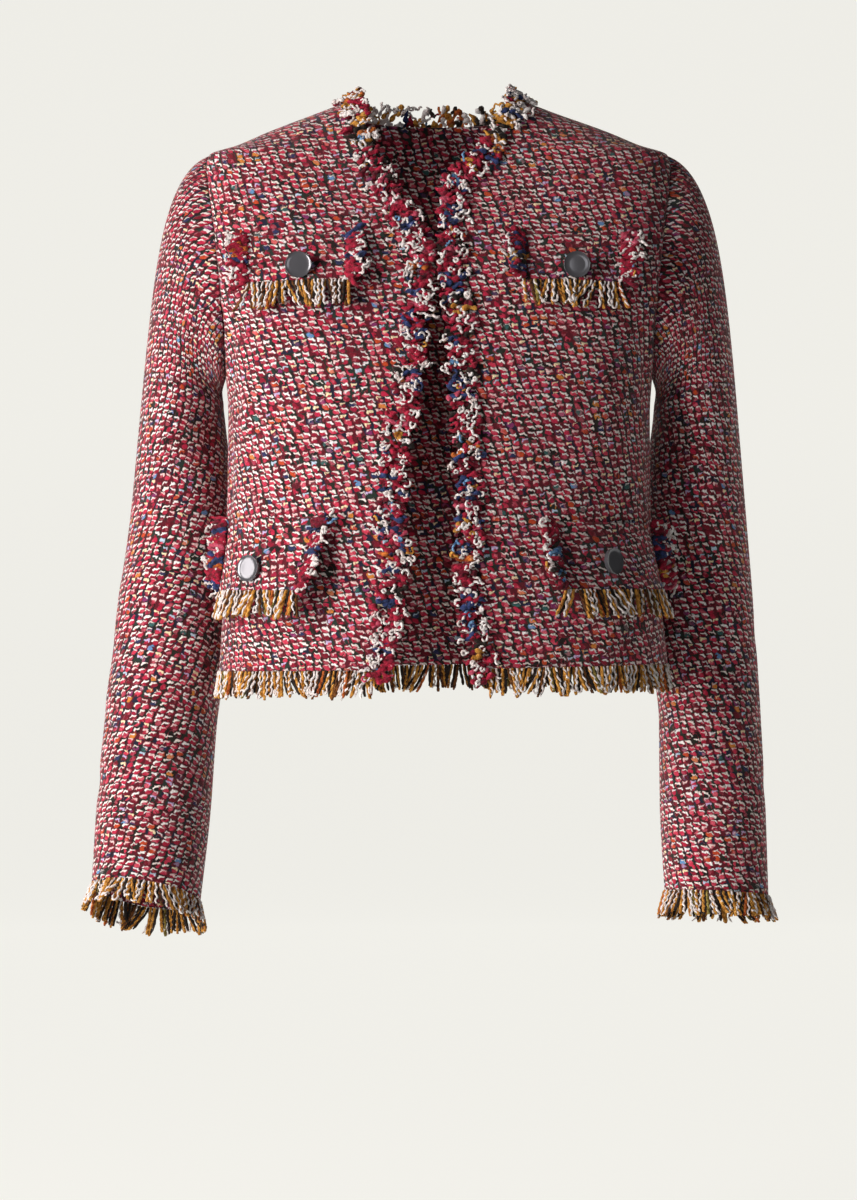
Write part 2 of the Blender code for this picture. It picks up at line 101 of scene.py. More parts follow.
camera_data = bpy.data.cameras.new("camera")
camera_data.lens = CAMERA_LENS
camera_data.sensor_width = 36
camera = bpy.data.objects.new("camera", camera_data)
camera.location = CAMERA_PLACE
camera.rotation_euler = (math.pi / 2, 0, 0)
bpy.context.scene.collection.objects.link(camera)
bpy.context.scene.camera = camera
bpy.context.scene.view_settings.view_transform = "Standard"

soft_light("key_light", (-1.95, -1.75, 0.0), (0, 0, -0.35), (0.8, 1.6), 84, "#FFF8F4")
soft_light("side_light", (-2.5, -0.77, -0.02), (0, 0, -0.4), (0.6, 1.2), 26, "#FFF8F4")
soft_light("front_fill", (0.3, -3.9, 0.4), (0, 0, -0.35), (1.4, 1.2), 13, "#FFFFFF")

# The room gives little light, but its walls look as pale as the paper.
world = bpy.data.worlds.new("studio")
bpy.context.scene.world = world
world.use_nodes = True
room_light = world.node_tree.nodes["Background"]
room_light.inputs["Color"].default_value = linear("#F4F2EE")
room_light.inputs["Strength"].default_value = 0.07
room_walls = add(world.node_tree, "Background", {"Color": linear("#F2F1EA"), "Strength": 1.0})
seen = add(world.node_tree, "LightPath").outputs["Is Camera Ray"]
room = add(world.node_tree, "MixShader", {"Fac": seen, 1: room_light.outputs[0], 2: room_walls.outputs[0]})
world.node_tree.links.new(room.outputs[0], world.node_tree.nodes["World Output"].inputs["Surface"])

# Matt paper sweep, evenly lit of itself, so the jacket stands before a pale ground with no shadow on it.
paper, paper_tree, paper_shader = fresh_material("matt_paper")
paper_grain = add(paper_tree, "TexNoise", {"Scale": 9.0, "Detail": 2.0})
paper_tone = add(
    paper_tree, "Mix", {"Factor": paper_grain.outputs["Fac"], 6: linear("#5E5D5A"), 7: linear("#605F5C")},
    data_type="RGBA",
)
paper_tree.links.new(paper_tone.outputs[2], paper_shader.inputs["Base Color"])
paper_shader.inputs["Roughness"].default_value = 1.0
paper_shader.inputs["Emission Color"].default_value = linear("#F1F0EA")
paper_shader.inputs["Emission Strength"].default_value = 0.905

sweep_mesh = bmesh.new()
sweep_start = [sweep_mesh.verts.new((-SWEEP_WIDTH / 2, y, FLOOR_Z)) for y in (SWEEP_FRONT, SWEEP_BEND)]
sweep_mesh.edges.new(sweep_start)
sweep_bend = bmesh.ops.spin(
    sweep_mesh, geom=[sweep_start[1]], cent=(0, SWEEP_BEND, FLOOR_Z + SWEEP_RADIUS), axis=(1, 0, 0),
    angle=math.pi / 2, steps=12,
)
sweep_top = [v for v in sweep_bend["geom_last"] if isinstance(v, bmesh.types.BMVert)][0]
sweep_wall = bmesh.ops.extrude_vert_indiv(sweep_mesh, verts=[sweep_top])["verts"]
sweep_wall[0].co.z += SWEEP_HEIGHT
sweep_sides = bmesh.ops.extrude_edge_only(sweep_mesh, edges=sweep_mesh.edges[:])["geom"]
sweep_far_side = [v for v in sweep_sides if isinstance(v, bmesh.types.BMVert)]
bmesh.ops.translate(sweep_mesh, verts=sweep_far_side, vec=(SWEEP_WIDTH, 0, 0))
bmesh.ops.recalc_face_normals(sweep_mesh, faces=sweep_mesh.faces)


def finished(name, mesh, material, smooth_angle=180):
    """A bmesh as an object at the origin, smooth shaded up to that angle."""
    data = bpy.data.meshes.new(name)
    mesh.to_mesh(data)
    mesh.free()
    data.materials.append(material)
    data.shade_smooth()
    if smooth_angle < 180:
        data.set_sharp_from_angle(angle=math.radians(smooth_angle))
    piece = bpy.data.objects.new(name, data)
    bpy.context.scene.collection.objects.link(piece)
    return piece


sweep = finished("paper_sweep", sweep_mesh, paper)


# ---------------------------------------------------------------------------------------------------
# Back and fronts: the three body panels.
# Thick loosely woven wool boucle, cut with the rows level, sewn at the sides, shoulders and armholes,
# unlined and left open in front. The panels follow the same hollow form as the solids.
# ---------------------------------------------------------------------------------------------------

CLOTH = 0.0025
SEAM_GAP = 0.0004
HEM_Z = -0.4815
HEM_RISE = 0.016
UNDERARM_Z = -0.236
SHOULDER_TIP_Z = -0.0475
NECK_POINT_Z = 0.003
NAPE_Z = -0.014
ARMHOLE_FRONT = math.radians(31)
ARMHOLE_BACK = math.radians(27)
SIDES = {"right": -1, "left": 1}

# A row for each level section of the body form.
FORM = (
    # z, half width, front depth, back depth, squareness, middle y, middle x
    (-0.520, 0.1930, 0.121, 0.123, 2.05, -0.012, 0.0070),
    (-0.482, 0.1900, 0.120, 0.121, 2.05, -0.012, 0.0065),
    (-0.442, 0.1865, 0.120, 0.116, 2.05, -0.012, 0.0055),
    (-0.400, 0.1830, 0.120, 0.112, 2.05, -0.012, 0.0040),
    (-0.347, 0.1795, 0.119, 0.108, 2.10, -0.011, 0.0025),
    (-0.270, 0.1785, 0.118, 0.112, 2.40, -0.009, 0.0025),
    (-0.236, 0.1805, 0.116, 0.116, 2.60, -0.007, 0.0025),
    (-0.200, 0.1875, 0.112, 0.119, 2.75, -0.005, 0.0025),
    (-0.170, 0.1940, 0.107, 0.119, 2.90, -0.003, 0.0025),
    (-0.130, 0.1990, 0.095, 0.114, 3.00, -0.001, 0.0025),
    (-0.090, 0.2000, 0.078, 0.104, 2.90, 0.0, 0.0025),
    (-0.060, 0.1985, 0.064, 0.094, 2.70, 0.0, 0.0020),
    (-0.0475, 0.1945, 0.0575, 0.089, 2.60, 0.0, 0.0020),
    (-0.040, 0.1725, 0.0535, 0.086, 2.50, 0.0, 0.0020),
    (-0.028, 0.1445, 0.0475, 0.081, 2.40, 0.0, 0.0015),
    (-0.009, 0.0940, 0.040, 0.073, 2.20, 0.0, 0.0),
    (0.003, 0.0660, 0.036, 0.066, 2.00, 0.0, 0.0),
    (0.015, 0.0590, 0.034, 0.062, 2.00, 0.0, 0.0),
    (0.030, 0.0560, 0.033, 0.060, 2.00, 0.0, 0.0),
)

# Where the two front edges hang, as distances out from the middle.
FRONT_EDGES = (
    # z, right, left
    (-0.520, 0.047, 0.038),
    (-0.480, 0.043, 0.034),
    (-0.440, 0.036, 0.026),
    (-0.400, 0.030, 0.022),
    (-0.350, 0.0315, 0.024),
    (-0.300, 0.028, 0.0215),
    (-0.250, 0.019, 0.017),
    (-0.200, 0.015, 0.016),
    (-0.160, 0.011, 0.0105),
    (-0.120, 0.010, 0.009),
    (-0.070, 0.010, 0.009),
)

# The neckline from the shoulder seam down to the front edge: Bezier points as (distance out, z).
NECKLINES = {
    "right": ((0.0660, NECK_POINT_Z), (0.066, -0.035), (0.045, -0.078), (0.010, -0.126)),
    "left": ((0.0660, NECK_POINT_Z), (0.062, -0.030), (0.036, -0.056), (0.009, -0.080)),
}

# Soft creases of the body cloth, by the angle round the body. Tilt is from upright, and a minus depth
# is a trough.
BODY_CREASES = (
    # angle, z, tilt, half length, half width, depth
    (-62, -0.215, 38, 0.060, 0.011, -0.0030),
    (-55, -0.262, 30, 0.075, 0.012, 0.0022),
    (61, -0.220, -34, 0.055, 0.010, -0.0026),
    (52, -0.285, -24, 0.080, 0.013, 0.0022),
    (-38, -0.280, 8, 0.085, 0.014, -0.0018),
    (30, -0.300, -6, 0.090, 0.013, -0.0020),
    (-22, -0.445, 5, 0.045, 0.012, 0.0022),
    (20, -0.440, -9, 0.045, 0.011, -0.0022),
    (47, -0.455, 6, 0.040, 0.013, 0.0024),
    (-50, -0.462, -4, 0.036, 0.011, -0.0022),
    (-78, -0.330, 5, 0.080, 0.012, -0.0024),
    (80, -0.350, -7, 0.075, 0.012, -0.0024),
    (128, -0.225, 32, 0.070, 0.012, -0.0030),
    (-131, -0.230, -30, 0.070, 0.012, -0.0028),
    (150, -0.330, 10, 0.090, 0.014, 0.0026),
    (-155, -0.340, -7, 0.090, 0.014, 0.0024),
    (176, -0.390, 2, 0.080, 0.015, -0.0024),
    (-172, -0.150, 4, 0.060, 0.016, 0.0020),
    (112, -0.420, 3, 0.055, 0.013, -0.0024),
    (-115, -0.415, -5, 0.055, 0.013, 0.0024),
)


def mix(a, b, share):
    return a + (b - a) * share


def bezier(points, t):
    """A point on a cubic Bezier through Vectors or numbers."""
    start, lead, trail, end = points
    back = 1 - t
    return start * back**3 + lead * 3 * back * back * t + trail * 3 * back * t * t + end * t**3


def reader(rows, column):
    """Reads one column of a table smoothly against its first column, with no overshoot."""
    keys = [row[0] for row in rows]
    values = [row[column] for row in rows]
    if keys[0] > keys[-1]:
        keys.reverse()
        values.reverse()
    spans = [b - a for a, b in zip(keys, keys[1:])]
    rises = [(b - a) / span for a, b, span in zip(values, values[1:], spans)]
    slopes = [rises[0]]
    for before, after in zip(rises, rises[1:]):
        slopes.append(2 * before * after / (before + after) if before * after > 0 else 0.0)
    slopes.append(rises[-1])

    def read(key):
        key = min(max(key, keys[0]), keys[-1])
        i = min(bisect_right(keys, key), len(keys) - 1) - 1
        t = (key - keys[i]) / spans[i]
        ends = mix(values[i], values[i + 1], t * t * (3 - 2 * t))
        swing = slopes[i] * t * (1 - t) ** 2 - slopes[i + 1] * t * t * (1 - t)
        return ends + swing * spans[i]

    return read


half_width, front_depth, back_depth, squareness, middle_y, middle_x = (
    reader(FORM, column) for column in range(1, 7)
)
edge_out = {"right": reader(FRONT_EDGES, 1), "left": reader(FRONT_EDGES, 2)}


def form(angle, z):
    """A point of the body form: angle 0 is the middle of the front, and +90 degrees the left side."""
    power = squareness(z)
    across, along = math.sin(angle), math.cos(angle)
    reach = (abs(across) ** power + abs(along) ** power) ** (-1 / power)
    depth = front_depth(z) if along > 0 else back_depth(z)
    return Vector((middle_x(z) + half_width(z) * reach * across, middle_y(z) - depth * reach * along, z))


def form_slopes(angle, z, near=1e-4):
    """How the form moves for each radian round the body, and for each metre up it."""
    round_body = (form(angle + near, z) - form(angle - near, z)) / (2 * near)
    up_body = (form(angle, z + near) - form(angle, z - near)) / (2 * near)
    return round_body, up_body


def form_normal(angle, z):
    round_body, up_body = form_slopes(angle, z)
    return round_body.cross(up_body).normalized()


BODY_RADIUS = 0.15
CREASE_REACH = 0.12
CREASE_WANDER = 0.004
NARROWEST_CREASE = 0.004


def crease(angle, z):
    """How far the cloth stands off the form there. A crease wanders, and widens towards its top."""
    total = 0.0
    for at, level, tilt, half_length, half_wide, depth in BODY_CREASES:
        turn = (angle - math.radians(at) + math.pi) % (2 * math.pi) - math.pi
        across, up = turn * BODY_RADIUS, z - level
        if abs(across) > CREASE_REACH or abs(up) > CREASE_REACH:
            continue
        lean = math.radians(tilt)
        run = across * math.sin(lean) + up * math.cos(lean)
        off = across * math.cos(lean) - up * math.sin(lean)
        off += CREASE_WANDER * math.sin(run * 60 + at)
        wide = max(half_wide * (1 + 0.5 * run / half_length), NARROWEST_CREASE)
        total += depth * math.exp(-((run / half_length) ** 2) * 1.6 - (off / wide) ** 2)
    return total


def skin(angle, z, lift=0.0):
    """A point of the cloth moved out by lift, or in where lift is negative."""
    return form(angle, z) + form_normal(angle, z) * (lift + crease(angle, z))


def angle_at(x, z):
    """The angle of the front point of the form that has this x."""
    share = min(abs(x - middle_x(z)) / half_width(z), 1 - 1e-9) ** squareness(z)
    return math.copysign(math.atan((share / (1 - share)) ** (1 / squareness(z))), x - middle_x(z))


def evenly(points):
    """A function of 0 to 1 that runs at even speed along the form through these (angle, z) points."""
    placed = [form(*point) for point in points]
    run = [0.0]
    for a, b in zip(placed, placed[1:]):
        run.append(run[-1] + (b - a).length)

    def at(share):
        want = min(max(share, 0.0), 1.0) * run[-1]
        i = min(max(bisect_right(run, want), 1), len(run) - 1)
        t = (want - run[i - 1]) / max(run[i] - run[i - 1], 1e-12)
        return mix(points[i - 1][0], points[i][0], t), mix(points[i - 1][1], points[i][1], t)

    at.length = run[-1]
    return at


def hem_z(angle):
    """The hem is a little lower on the right side."""
    return HEM_Z + HEM_RISE * form(angle, HEM_Z).x


def front_edge(side, z):
    return angle_at(SIDES[side] * edge_out[side](z), z)


def neckline(side, samples=24):
    """The neckline's (angle, z) points from the front edge up to the shoulder seam."""
    points = []
    for i in range(samples + 1):
        out, z = (bezier([p[axis] for p in NECKLINES[side]], 1 - i / samples) for axis in (0, 1))
        points.append((angle_at(SIDES[side] * out, z), z))
    points[-1] = (SIDES[side] * math.pi / 2, NECK_POINT_Z)
    return points


def front_rail(side, lowest):
    """The front edge from a height up to the neckline, and on to the shoulder seam."""
    top = NECKLINES[side][-1][1]
    samples = 24
    heights = [mix(lowest, top, i / samples) for i in range(samples)]
    return evenly([(front_edge(side, z), z) for z in heights] + neckline(side))


def collar(side, samples=12):
    """The back neckline's (angle, z) points from the nape round to the shoulder seam."""
    turn = SIDES[side] * math.pi
    shares = [i / samples for i in range(samples + 1)]
    return [(turn * (1 - t / 2), mix(NAPE_Z, NECK_POINT_Z, t * t)) for t in shares]


def armhole(side, half, share):
    """The armhole's (angle, z), from the underarm up to the shoulder tip, on the front or back half."""
    cut = ARMHOLE_FRONT if half == "front" else -ARMHOLE_BACK
    turn = math.pi * share
    z = mix(UNDERARM_Z, SHOULDER_TIP_Z, (1 - math.cos(turn)) / 2)
    return SIDES[side] * (math.pi / 2 - cut * math.sin(turn)), z


def seam_turn(half, z):
    """Half of a seam's gap, as an angle at the side or shoulder seam."""
    depth = front_depth(z) if half == "front" else back_depth(z)
    return SEAM_GAP / 2 / depth


def blended(left, right, low, high, u, v):
    """A Coons patch: the (angle, z) at (u, v) between four sides, each a function that meets the next."""
    point = []
    for i in (0, 1):
        across = mix(left(v)[i], right(v)[i], u)
        upward = mix(low(u)[i], high(u)[i], v)
        corners = mix(mix(low(0.0)[i], low(1.0)[i], u), mix(high(0.0)[i], high(1.0)[i], u), v)
        point.append(across + upward - corners)
    return point


def shoulder(side, share):
    """The shoulder seam's (angle, z) from the neck out to the armhole."""
    return SIDES[side] * math.pi / 2, mix(NECK_POINT_Z, SHOULDER_TIP_Z, share)


BELOW_ARM = 0.45


def panel(side, half, inner, top):
    """One quarter of the body: at(u, v) gives (angle, z), from the middle out and from the hem up."""
    corner = SIDES[side] * math.pi / 2
    arm = partial(armhole, side, half)

    def floor(u):
        return mix(inner(0.0)[0], corner, u), UNDERARM_Z

    def at(u, v):
        if v <= BELOW_ARM:
            rise = v / BELOW_ARM
            middle = front_edge(side, mix(HEM_Z, UNDERARM_Z, rise)) if half == "front" else inner(0.0)[0]
            angle = mix(middle, corner, u)
            z = mix(hem_z(angle), UNDERARM_Z, rise)
        else:
            angle, z = blended(inner, arm, floor, top, u, (v - BELOW_ARM) / (1 - BELOW_ARM))
        back_off = seam_turn(half, z) * (1 if half == "front" else -1)
        limit = abs(corner) - back_off
        turned = min(abs(angle), limit) if half == "front" else max(abs(angle), limit)
        return math.copysign(turned, corner), z

    return at


NECK_SHARE = 0.385


def back_quarter(side):
    """Half of the back: its top side runs along the neckline and then the shoulder seam."""
    neck = evenly(collar(side))

    def spine(rise):
        return SIDES[side] * math.pi, mix(UNDERARM_Z, NAPE_Z, rise)

    def top(u):
        if u <= NECK_SHARE:
            return neck(u / NECK_SHARE)
        return shoulder(side, (u - NECK_SHARE) / (1 - NECK_SHARE))

    return panel(side, "back", spine, top)


GRAIN_FLOOR = -0.53
GRAIN_RISE = 0.00965
GRAIN_ROWS = 50
GRAIN_DEGREES = 5
GRAIN_COLUMNS = 36


def grain_table():
    """Arc lengths round the body and up it, read by grain(angle, z) as metres of flat cloth."""
    levels = [GRAIN_FLOOR + GRAIN_RISE * i for i in range(GRAIN_ROWS + 1)]
    turns = [math.radians(GRAIN_DEGREES * i) for i in range(GRAIN_COLUMNS + 1)]
    rounds, rises = {}, {}
    for side in (1, -1):
        for i, z in enumerate(levels):
            row = [form(side * turn, z) for turn in turns]
            run = 0.0
            for j, point in enumerate(row):
                run += (point - row[j - 1]).length if j else 0.0
                rounds[side, i, j] = run
                below = rises[side, i - 1, j] if i else (0.0, point)
                rises[side, i, j] = (below[0] + (point - below[1]).length, point)

    def read(table, side, i, j, s, t, value_of):
        low = mix(value_of(table[side, i, j]), value_of(table[side, i, j + 1]), t)
        high = mix(value_of(table[side, i + 1, j]), value_of(table[side, i + 1, j + 1]), t)
        return mix(low, high, s)

    def grain(angle, z):
        """Level below the shoulder tips; above them the rows climb straight over the shoulder."""
        side = 1 if angle > 0 else -1
        point = form(angle, z)
        climb = 0.0
        turn = abs(angle)
        if z > SHOULDER_TIP_Z:
            below = abs(angle_at(point.x, SHOULDER_TIP_Z))
            turn = below if turn <= math.pi / 2 else math.pi - below
            base = form(side * turn, SHOULDER_TIP_Z)
            climb = math.hypot(point.y - base.y, point.z - base.z)
            z = SHOULDER_TIP_Z
        row = min(max((z - GRAIN_FLOOR) / GRAIN_RISE, 0.0), GRAIN_ROWS - 0.001)
        column = min(turn / math.radians(GRAIN_DEGREES), GRAIN_COLUMNS - 0.001)
        i, j = int(row), int(column)
        across = read(rounds, side, i, j, row - i, column - j, lambda value: value)
        up = read(rises, side, i, j, row - i, column - j, lambda value: value[0])
        return side * across, up + climb

    return grain


grain = grain_table()


def cloth(name, columns, rows, place, grain_at, material, joined=False):
    """A cloth piece: a grid laid by place(u, v, lift), with its weave mapped in metres, and then walled."""
    mesh = bmesh.new()
    bmesh.ops.create_grid(mesh, x_segments=columns, y_segments=rows, size=0.5)
    shares = mesh.verts.layers.float_vector.new("shares")
    weave = mesh.loops.layers.uv.new("weave")
    for vert in mesh.verts:
        vert[shares] = vert.co + Vector((0.5, 0.5, 0))
    for face in mesh.faces:
        for loop in face.loops:
            loop[weave].uv = grain_at(loop.vert[shares].x, loop.vert[shares].y)
    for vert in mesh.verts:
        vert.co = place(vert[shares].x, vert[shares].y, 0.0)
    if joined:
        bmesh.ops.remove_doubles(mesh, verts=mesh.verts, dist=1e-6)
    mesh.normal_update()
    middle = min(mesh.verts, key=lambda vert: (vert[shares] - Vector((0.5, 0.5, 0))).length)
    if middle.normal.dot(place(0.5, 0.5, 0.001) - place(0.5, 0.5, 0.0)) < 0:
        bmesh.ops.reverse_faces(mesh, faces=mesh.faces)
    mesh.verts.layers.float_vector.remove(shares)
    piece = finished(f"tweed_{name}", mesh, material)
    wall = piece.modifiers.new("cloth_wall", "SOLIDIFY")
    wall.thickness = CLOTH
    wall.offset = -1
    wall.use_even_offset = True
    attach(piece, "root")
    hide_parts(name)
    return piece


def boucle_tweed():
    """Wool boucle tweed, thick and matt with a soft sheen: fat crimson weft floats in columns, short
    hooked cream floats over them, near-black ground in the gaps, and a few stray bright yarns."""
    material, tree, shader = fresh_material("wool_boucle_tweed")
    links = tree.links
    uv = add(tree, "UVMap", uv_map="weave")
    # Uneven hand-spun yarns: the rows wander by up to 2 mm over 30 mm, and by about 1 mm close up.
    sway = add(tree, "TexNoise", {"Vector": uv.outputs[0], "Scale": 34.0, "Detail": 1.0})
    jitter = add(tree, "TexNoise", {"Vector": uv.outputs[0], "Scale": 300.0, "Detail": 1.0})
    swayed = add(
        tree, "VectorMath", {0: sway.outputs["Color"], 1: (0.0040, 0.0040, 0), 2: uv.outputs[0]},
        operation="MULTIPLY_ADD",
    )
    strayed = add(
        tree, "VectorMath", {0: jitter.outputs["Color"], 1: (0.0030, 0.0026, 0), 2: swayed.outputs[0]},
        operation="MULTIPLY_ADD",
    )
    # Columns every 7.6 mm and rows every 4.9 mm, each row set 1.6 mm over from the last: so many columns
    # and rows for each metre across and up.
    column = add(tree, "VectorMath", {0: strayed.outputs[0], 1: (127.2, 41.5, 0)}, operation="DOT_PRODUCT")
    row = add(tree, "VectorMath", {0: strayed.outputs[0], 1: (20.8, -197.3, 0)}, operation="DOT_PRODUCT")
    # Each row starts at its own place, by up to a third of a column.
    row_number = add(tree, "Math", {0: row.outputs["Value"]}, operation="FLOOR")
    row_start = add(tree, "TexWhiteNoise", {"W": row_number.outputs[0]}, noise_dimensions="1D")
    shifted = add(
        tree, "Math", {0: row_start.outputs["Value"], 1: 0.32, 2: column.outputs["Value"]},
        operation="MULTIPLY_ADD",
    )
    lattice = add(tree, "CombineXYZ", {0: shifted.outputs[0], 1: row.outputs["Value"]})
    cell = add(tree, "VectorMath", {0: lattice.outputs[0]}, operation="FLOOR")
    inside = add(tree, "VectorMath", {0: lattice.outputs[0]}, operation="FRACTION")
    chance = add(tree, "TexWhiteNoise", {"Vector": cell.outputs[0]}, noise_dimensions="3D")
    second_cell = add(tree, "VectorMath", {0: cell.outputs[0], 1: (71.3, 19.7, 5.1)}, operation="ADD")
    second = add(tree, "TexWhiteNoise", {"Vector": second_cell.outputs[0]}, noise_dimensions="3D")
    # A place in the cell in millimetres, from the cell's middle.
    at = add(
        tree, "VectorMath", {0: inside.outputs[0], 1: (7.6, 4.9, 0), 2: (-3.8, -2.45, 0)},
        operation="MULTIPLY_ADD",
    ).outputs[0]
    fuzz = add(tree, "TexNoise", {"Vector": uv.outputs[0], "Scale": 900.0, "Detail": 2.0}).outputs["Fac"]

    # The cream floats arch over the crimson ones, so their rows are bent.
    parts_at = add(tree, "SeparateXYZ", {0: at})
    squared = add(tree, "Math", {0: parts_at.outputs[0], 1: parts_at.outputs[0]}, operation="MULTIPLY")
    arch = add(tree, "CombineXYZ", {1: squared.outputs[0]})
    arched = add(
        tree, "VectorMath", {0: arch.outputs[0], 1: (0, 0.10, 0), 2: at}, operation="MULTIPLY_ADD"
    ).outputs[0]

    def float_gap(start, run, thrown, at=at):
        """Distance in millimetres to one short float, thrown about its place from cell to cell."""
        shift = add(
            tree, "VectorMath", {0: chance.outputs["Color"], 1: thrown, 2: start}, operation="MULTIPLY_ADD"
        )
        from_start = add(tree, "VectorMath", {0: at, 1: shift.outputs[0]}, operation="SUBTRACT").outputs[0]
        length = Vector(run).length
        unit = Vector(run) / length
        share = add(tree, "VectorMath", {0: from_start, 1: unit}, operation="DOT_PRODUCT").outputs["Value"]
        held = add(tree, "Clamp", {"Value": share, "Min": 0.0, "Max": length}).outputs[0]
        nearest = add(tree, "VectorMath", {0: unit, "Scale": held}, operation="SCALE").outputs[0]
        return add(tree, "VectorMath", {0: from_start, 1: nearest}, operation="DISTANCE").outputs["Value"]

    def mask(distance, width, soft, fray=0.9):
        """1 within a width of a float, with an edge frayed by so many millimetres either way."""
        rough = add(tree, "Math", {0: fuzz, 1: 2 * fray, 2: distance}, operation="MULTIPLY_ADD").outputs[0]
        edge = width + fray
        fade = add(
            tree, "MapRange",
            {"Value": rough, "From Min": edge - soft, "From Max": edge + soft, "To Min": 1.0, "To Max": 0.0},
            interpolation_type="SMOOTHSTEP",
        )
        return fade.outputs[0]

    # Each cream float is a dash with a hook at one end or the other. Places and runs in millimetres.
    cream_throw = (2.2, 1.9, 0)
    dash = float_gap((-2.7, -2.3, 0), (3.4, 0.3, 0), cream_throw, arched)
    hook = float_gap((0.7, -1.9, 0), (0.8, 1.3, 0), cream_throw)
    tail = float_gap((-2.7, -2.2, 0), (-0.4, 1.0, 0), cream_throw)
    hook_on = add(tree, "Math", {0: second.outputs["Value"], 1: 0.66}, operation="GREATER_THAN").outputs[0]
    one_end = add(tree, "Mix", {"Factor": hook_on, 2: hook, 3: tail}, data_type="FLOAT").outputs[0]
    cream_gap = add(tree, "Math", {0: dash, 1: one_end}, operation="MINIMUM").outputs[0]
    thin = add(tree, "Math", {0: chance.outputs["Value"], 1: 0.6, 2: cream_gap}, operation="MULTIPLY_ADD")
    cream = mask(thin.outputs[0], 0.98, 0.3)
    blob_gap = float_gap((-2.6, -0.6, 0), (1.3, 1.1, 0), (2.4, 1.0, 0))
    blob = mask(blob_gap, 2.15, 0.45)

    # The dyes, one pick for each float.
    blob_dye = add(tree, "ValToRGB", {"Fac": chance.outputs["Value"]})
    cream_dye = add(tree, "ValToRGB", {"Fac": second.outputs["Value"]})
    parts = add(tree, "SeparateColor", {0: second.outputs["Color"]})
    dark_dye = add(tree, "ValToRGB", {"Fac": parts.outputs[0]})
    dyes = (
        (blob_dye, ((0.0, "#A31434"), (0.24, "#860E2A"), (0.44, "#B41E40"), (0.60, "#6E0A20"),
                    (0.74, "#C0304A"), (0.84, "#B8421E"), (0.89, "#941436"), (0.93, "#252C52"),
                    (0.955, "#C87A30"), (0.967, "#2E5A58"), (0.975, "#5E8AB8"), (0.983, "#7A2A5E"))),
        (cream_dye, ((0.0, "#F6ECE6"), (0.40, "#F8F4F2"), (0.62, "#F0CDCB"), (0.78, "#F4E2B8"),
                     (0.84, "#F3EDEE"), (0.94, "#C9B4DC"), (0.97, "#B8D0E4"))),
        (dark_dye, ((0.0, "#160E0C"), (0.22, "#1C2018"), (0.40, "#560C1C"), (0.78, "#141A30"),
                    (0.88, "#1E2E28"))),
    )
    for dye, stops in dyes:
        dye.color_ramp.interpolation = "CONSTANT"
        while len(dye.color_ramp.elements) < len(stops):
            dye.color_ramp.elements.new(1.0)
        for element, (place, colour) in zip(dye.color_ramp.elements, stops):
            element.position = place
            element.color = linear(colour)
    # Painted shade and light on the fibre fuzz: the colour is darker where the fuzz lies low in the bump and
    # lighter where it stands high.
    fuzz_shade = add(
        tree, "MapRange", {"Value": fuzz, "From Min": 0.3, "From Max": 0.7, "To Min": 0.6, "To Max": 1.25}
    )
    # Stray fibres cover some floats and break the rows up.
    stray = add(tree, "TexVoronoi", {"Vector": strayed.outputs[0], "Scale": 290.0})
    fleck = add(tree, "SeparateColor", {0: stray.outputs["Color"]})
    sunken = add(tree, "Math", {0: fleck.outputs[0], 1: 0.86}, operation="LESS_THAN").outputs[0]
    blob = add(tree, "Math", {0: blob, 1: sunken}, operation="MULTIPLY").outputs[0]
    faded = add(tree, "MapRange", {"Value": fleck.outputs[1], "From Min": 0.6, "To Max": 0.55})
    dyed = add(
        tree, "Mix", {"Factor": faded.outputs[0], 6: blob_dye.outputs[0], 7: linear("#D8707E")},
        data_type="RGBA",
    ).outputs[2]
    ground = add(
        tree, "Mix", {"Factor": blob, 6: dark_dye.outputs[0], 7: dyed}, data_type="RGBA"
    ).outputs[2]
    present = add(tree, "Math", {0: parts.outputs[2], 1: 0.06}, operation="GREATER_THAN").outputs[0]
    cream_here = add(tree, "Math", {0: cream, 1: present}, operation="MULTIPLY").outputs[0]
    woven = add(
        tree, "Mix", {"Factor": cream_here, 6: ground, 7: cream_dye.outputs[0]}, data_type="RGBA"
    ).outputs[2]
    toned = add(tree, "VectorMath", {0: woven, "Scale": fuzz_shade.outputs[0]}, operation="SCALE").outputs[0]
    links.new(toned, shader.inputs["Base Color"])
    # Floats stand up to a millimetre proud of the ground.
    proud = add(tree, "Math", {0: cream_here, 1: 0.75, 2: blob}, operation="MULTIPLY_ADD").outputs[0]
    height = add(tree, "Math", {0: fuzz, 1: 0.5, 2: proud}, operation="MULTIPLY_ADD").outputs[0]
    bump = add(tree, "Bump", {"Height": height, "Distance": 0.0011, "Strength": 0.75})
    links.new(bump.outputs[0], shader.inputs["Normal"])
    shader.inputs["Roughness"].default_value = 0.92
    shader.inputs["Specular IOR Level"].default_value = 0.25
    shader.inputs["Sheen Weight"].default_value = 0.25
    shader.inputs["Sheen Roughness"].default_value = 0.5
    shader.inputs["Sheen Tint"].default_value = linear("#F0D0D0")
    return material


tweed = boucle_tweed()

for side in SIDES:
    front_at = panel(side, "front", front_rail(side, UNDERARM_Z), partial(shoulder, side))
    cloth(
        f"front_{side}", 44, 96,
        lambda u, v, lift, at=front_at: skin(*at(u, v), lift),
        lambda u, v, at=front_at: grain(*at(u, v)),
        tweed,
    )

back_quarters = {side: back_quarter(side) for side in SIDES}


def back_at(u, v):
    return back_quarters["right" if u < 0.5 else "left"](abs(1 - 2 * u), v)


def back_grain(u, v):
    """Measured from the middle of the back, so that the weave runs on across it."""
    angle, z = back_at(u, v)
    side = 1 if u >= 0.5 else -1
    across, up = grain(side * abs(angle), z)
    middle, _ = grain(side * math.pi, min(z, SHOULDER_TIP_Z))
    return middle - across, up


back = cloth("back", 104, 96, lambda u, v, lift: skin(*back_at(u, v), lift), back_grain, tweed)


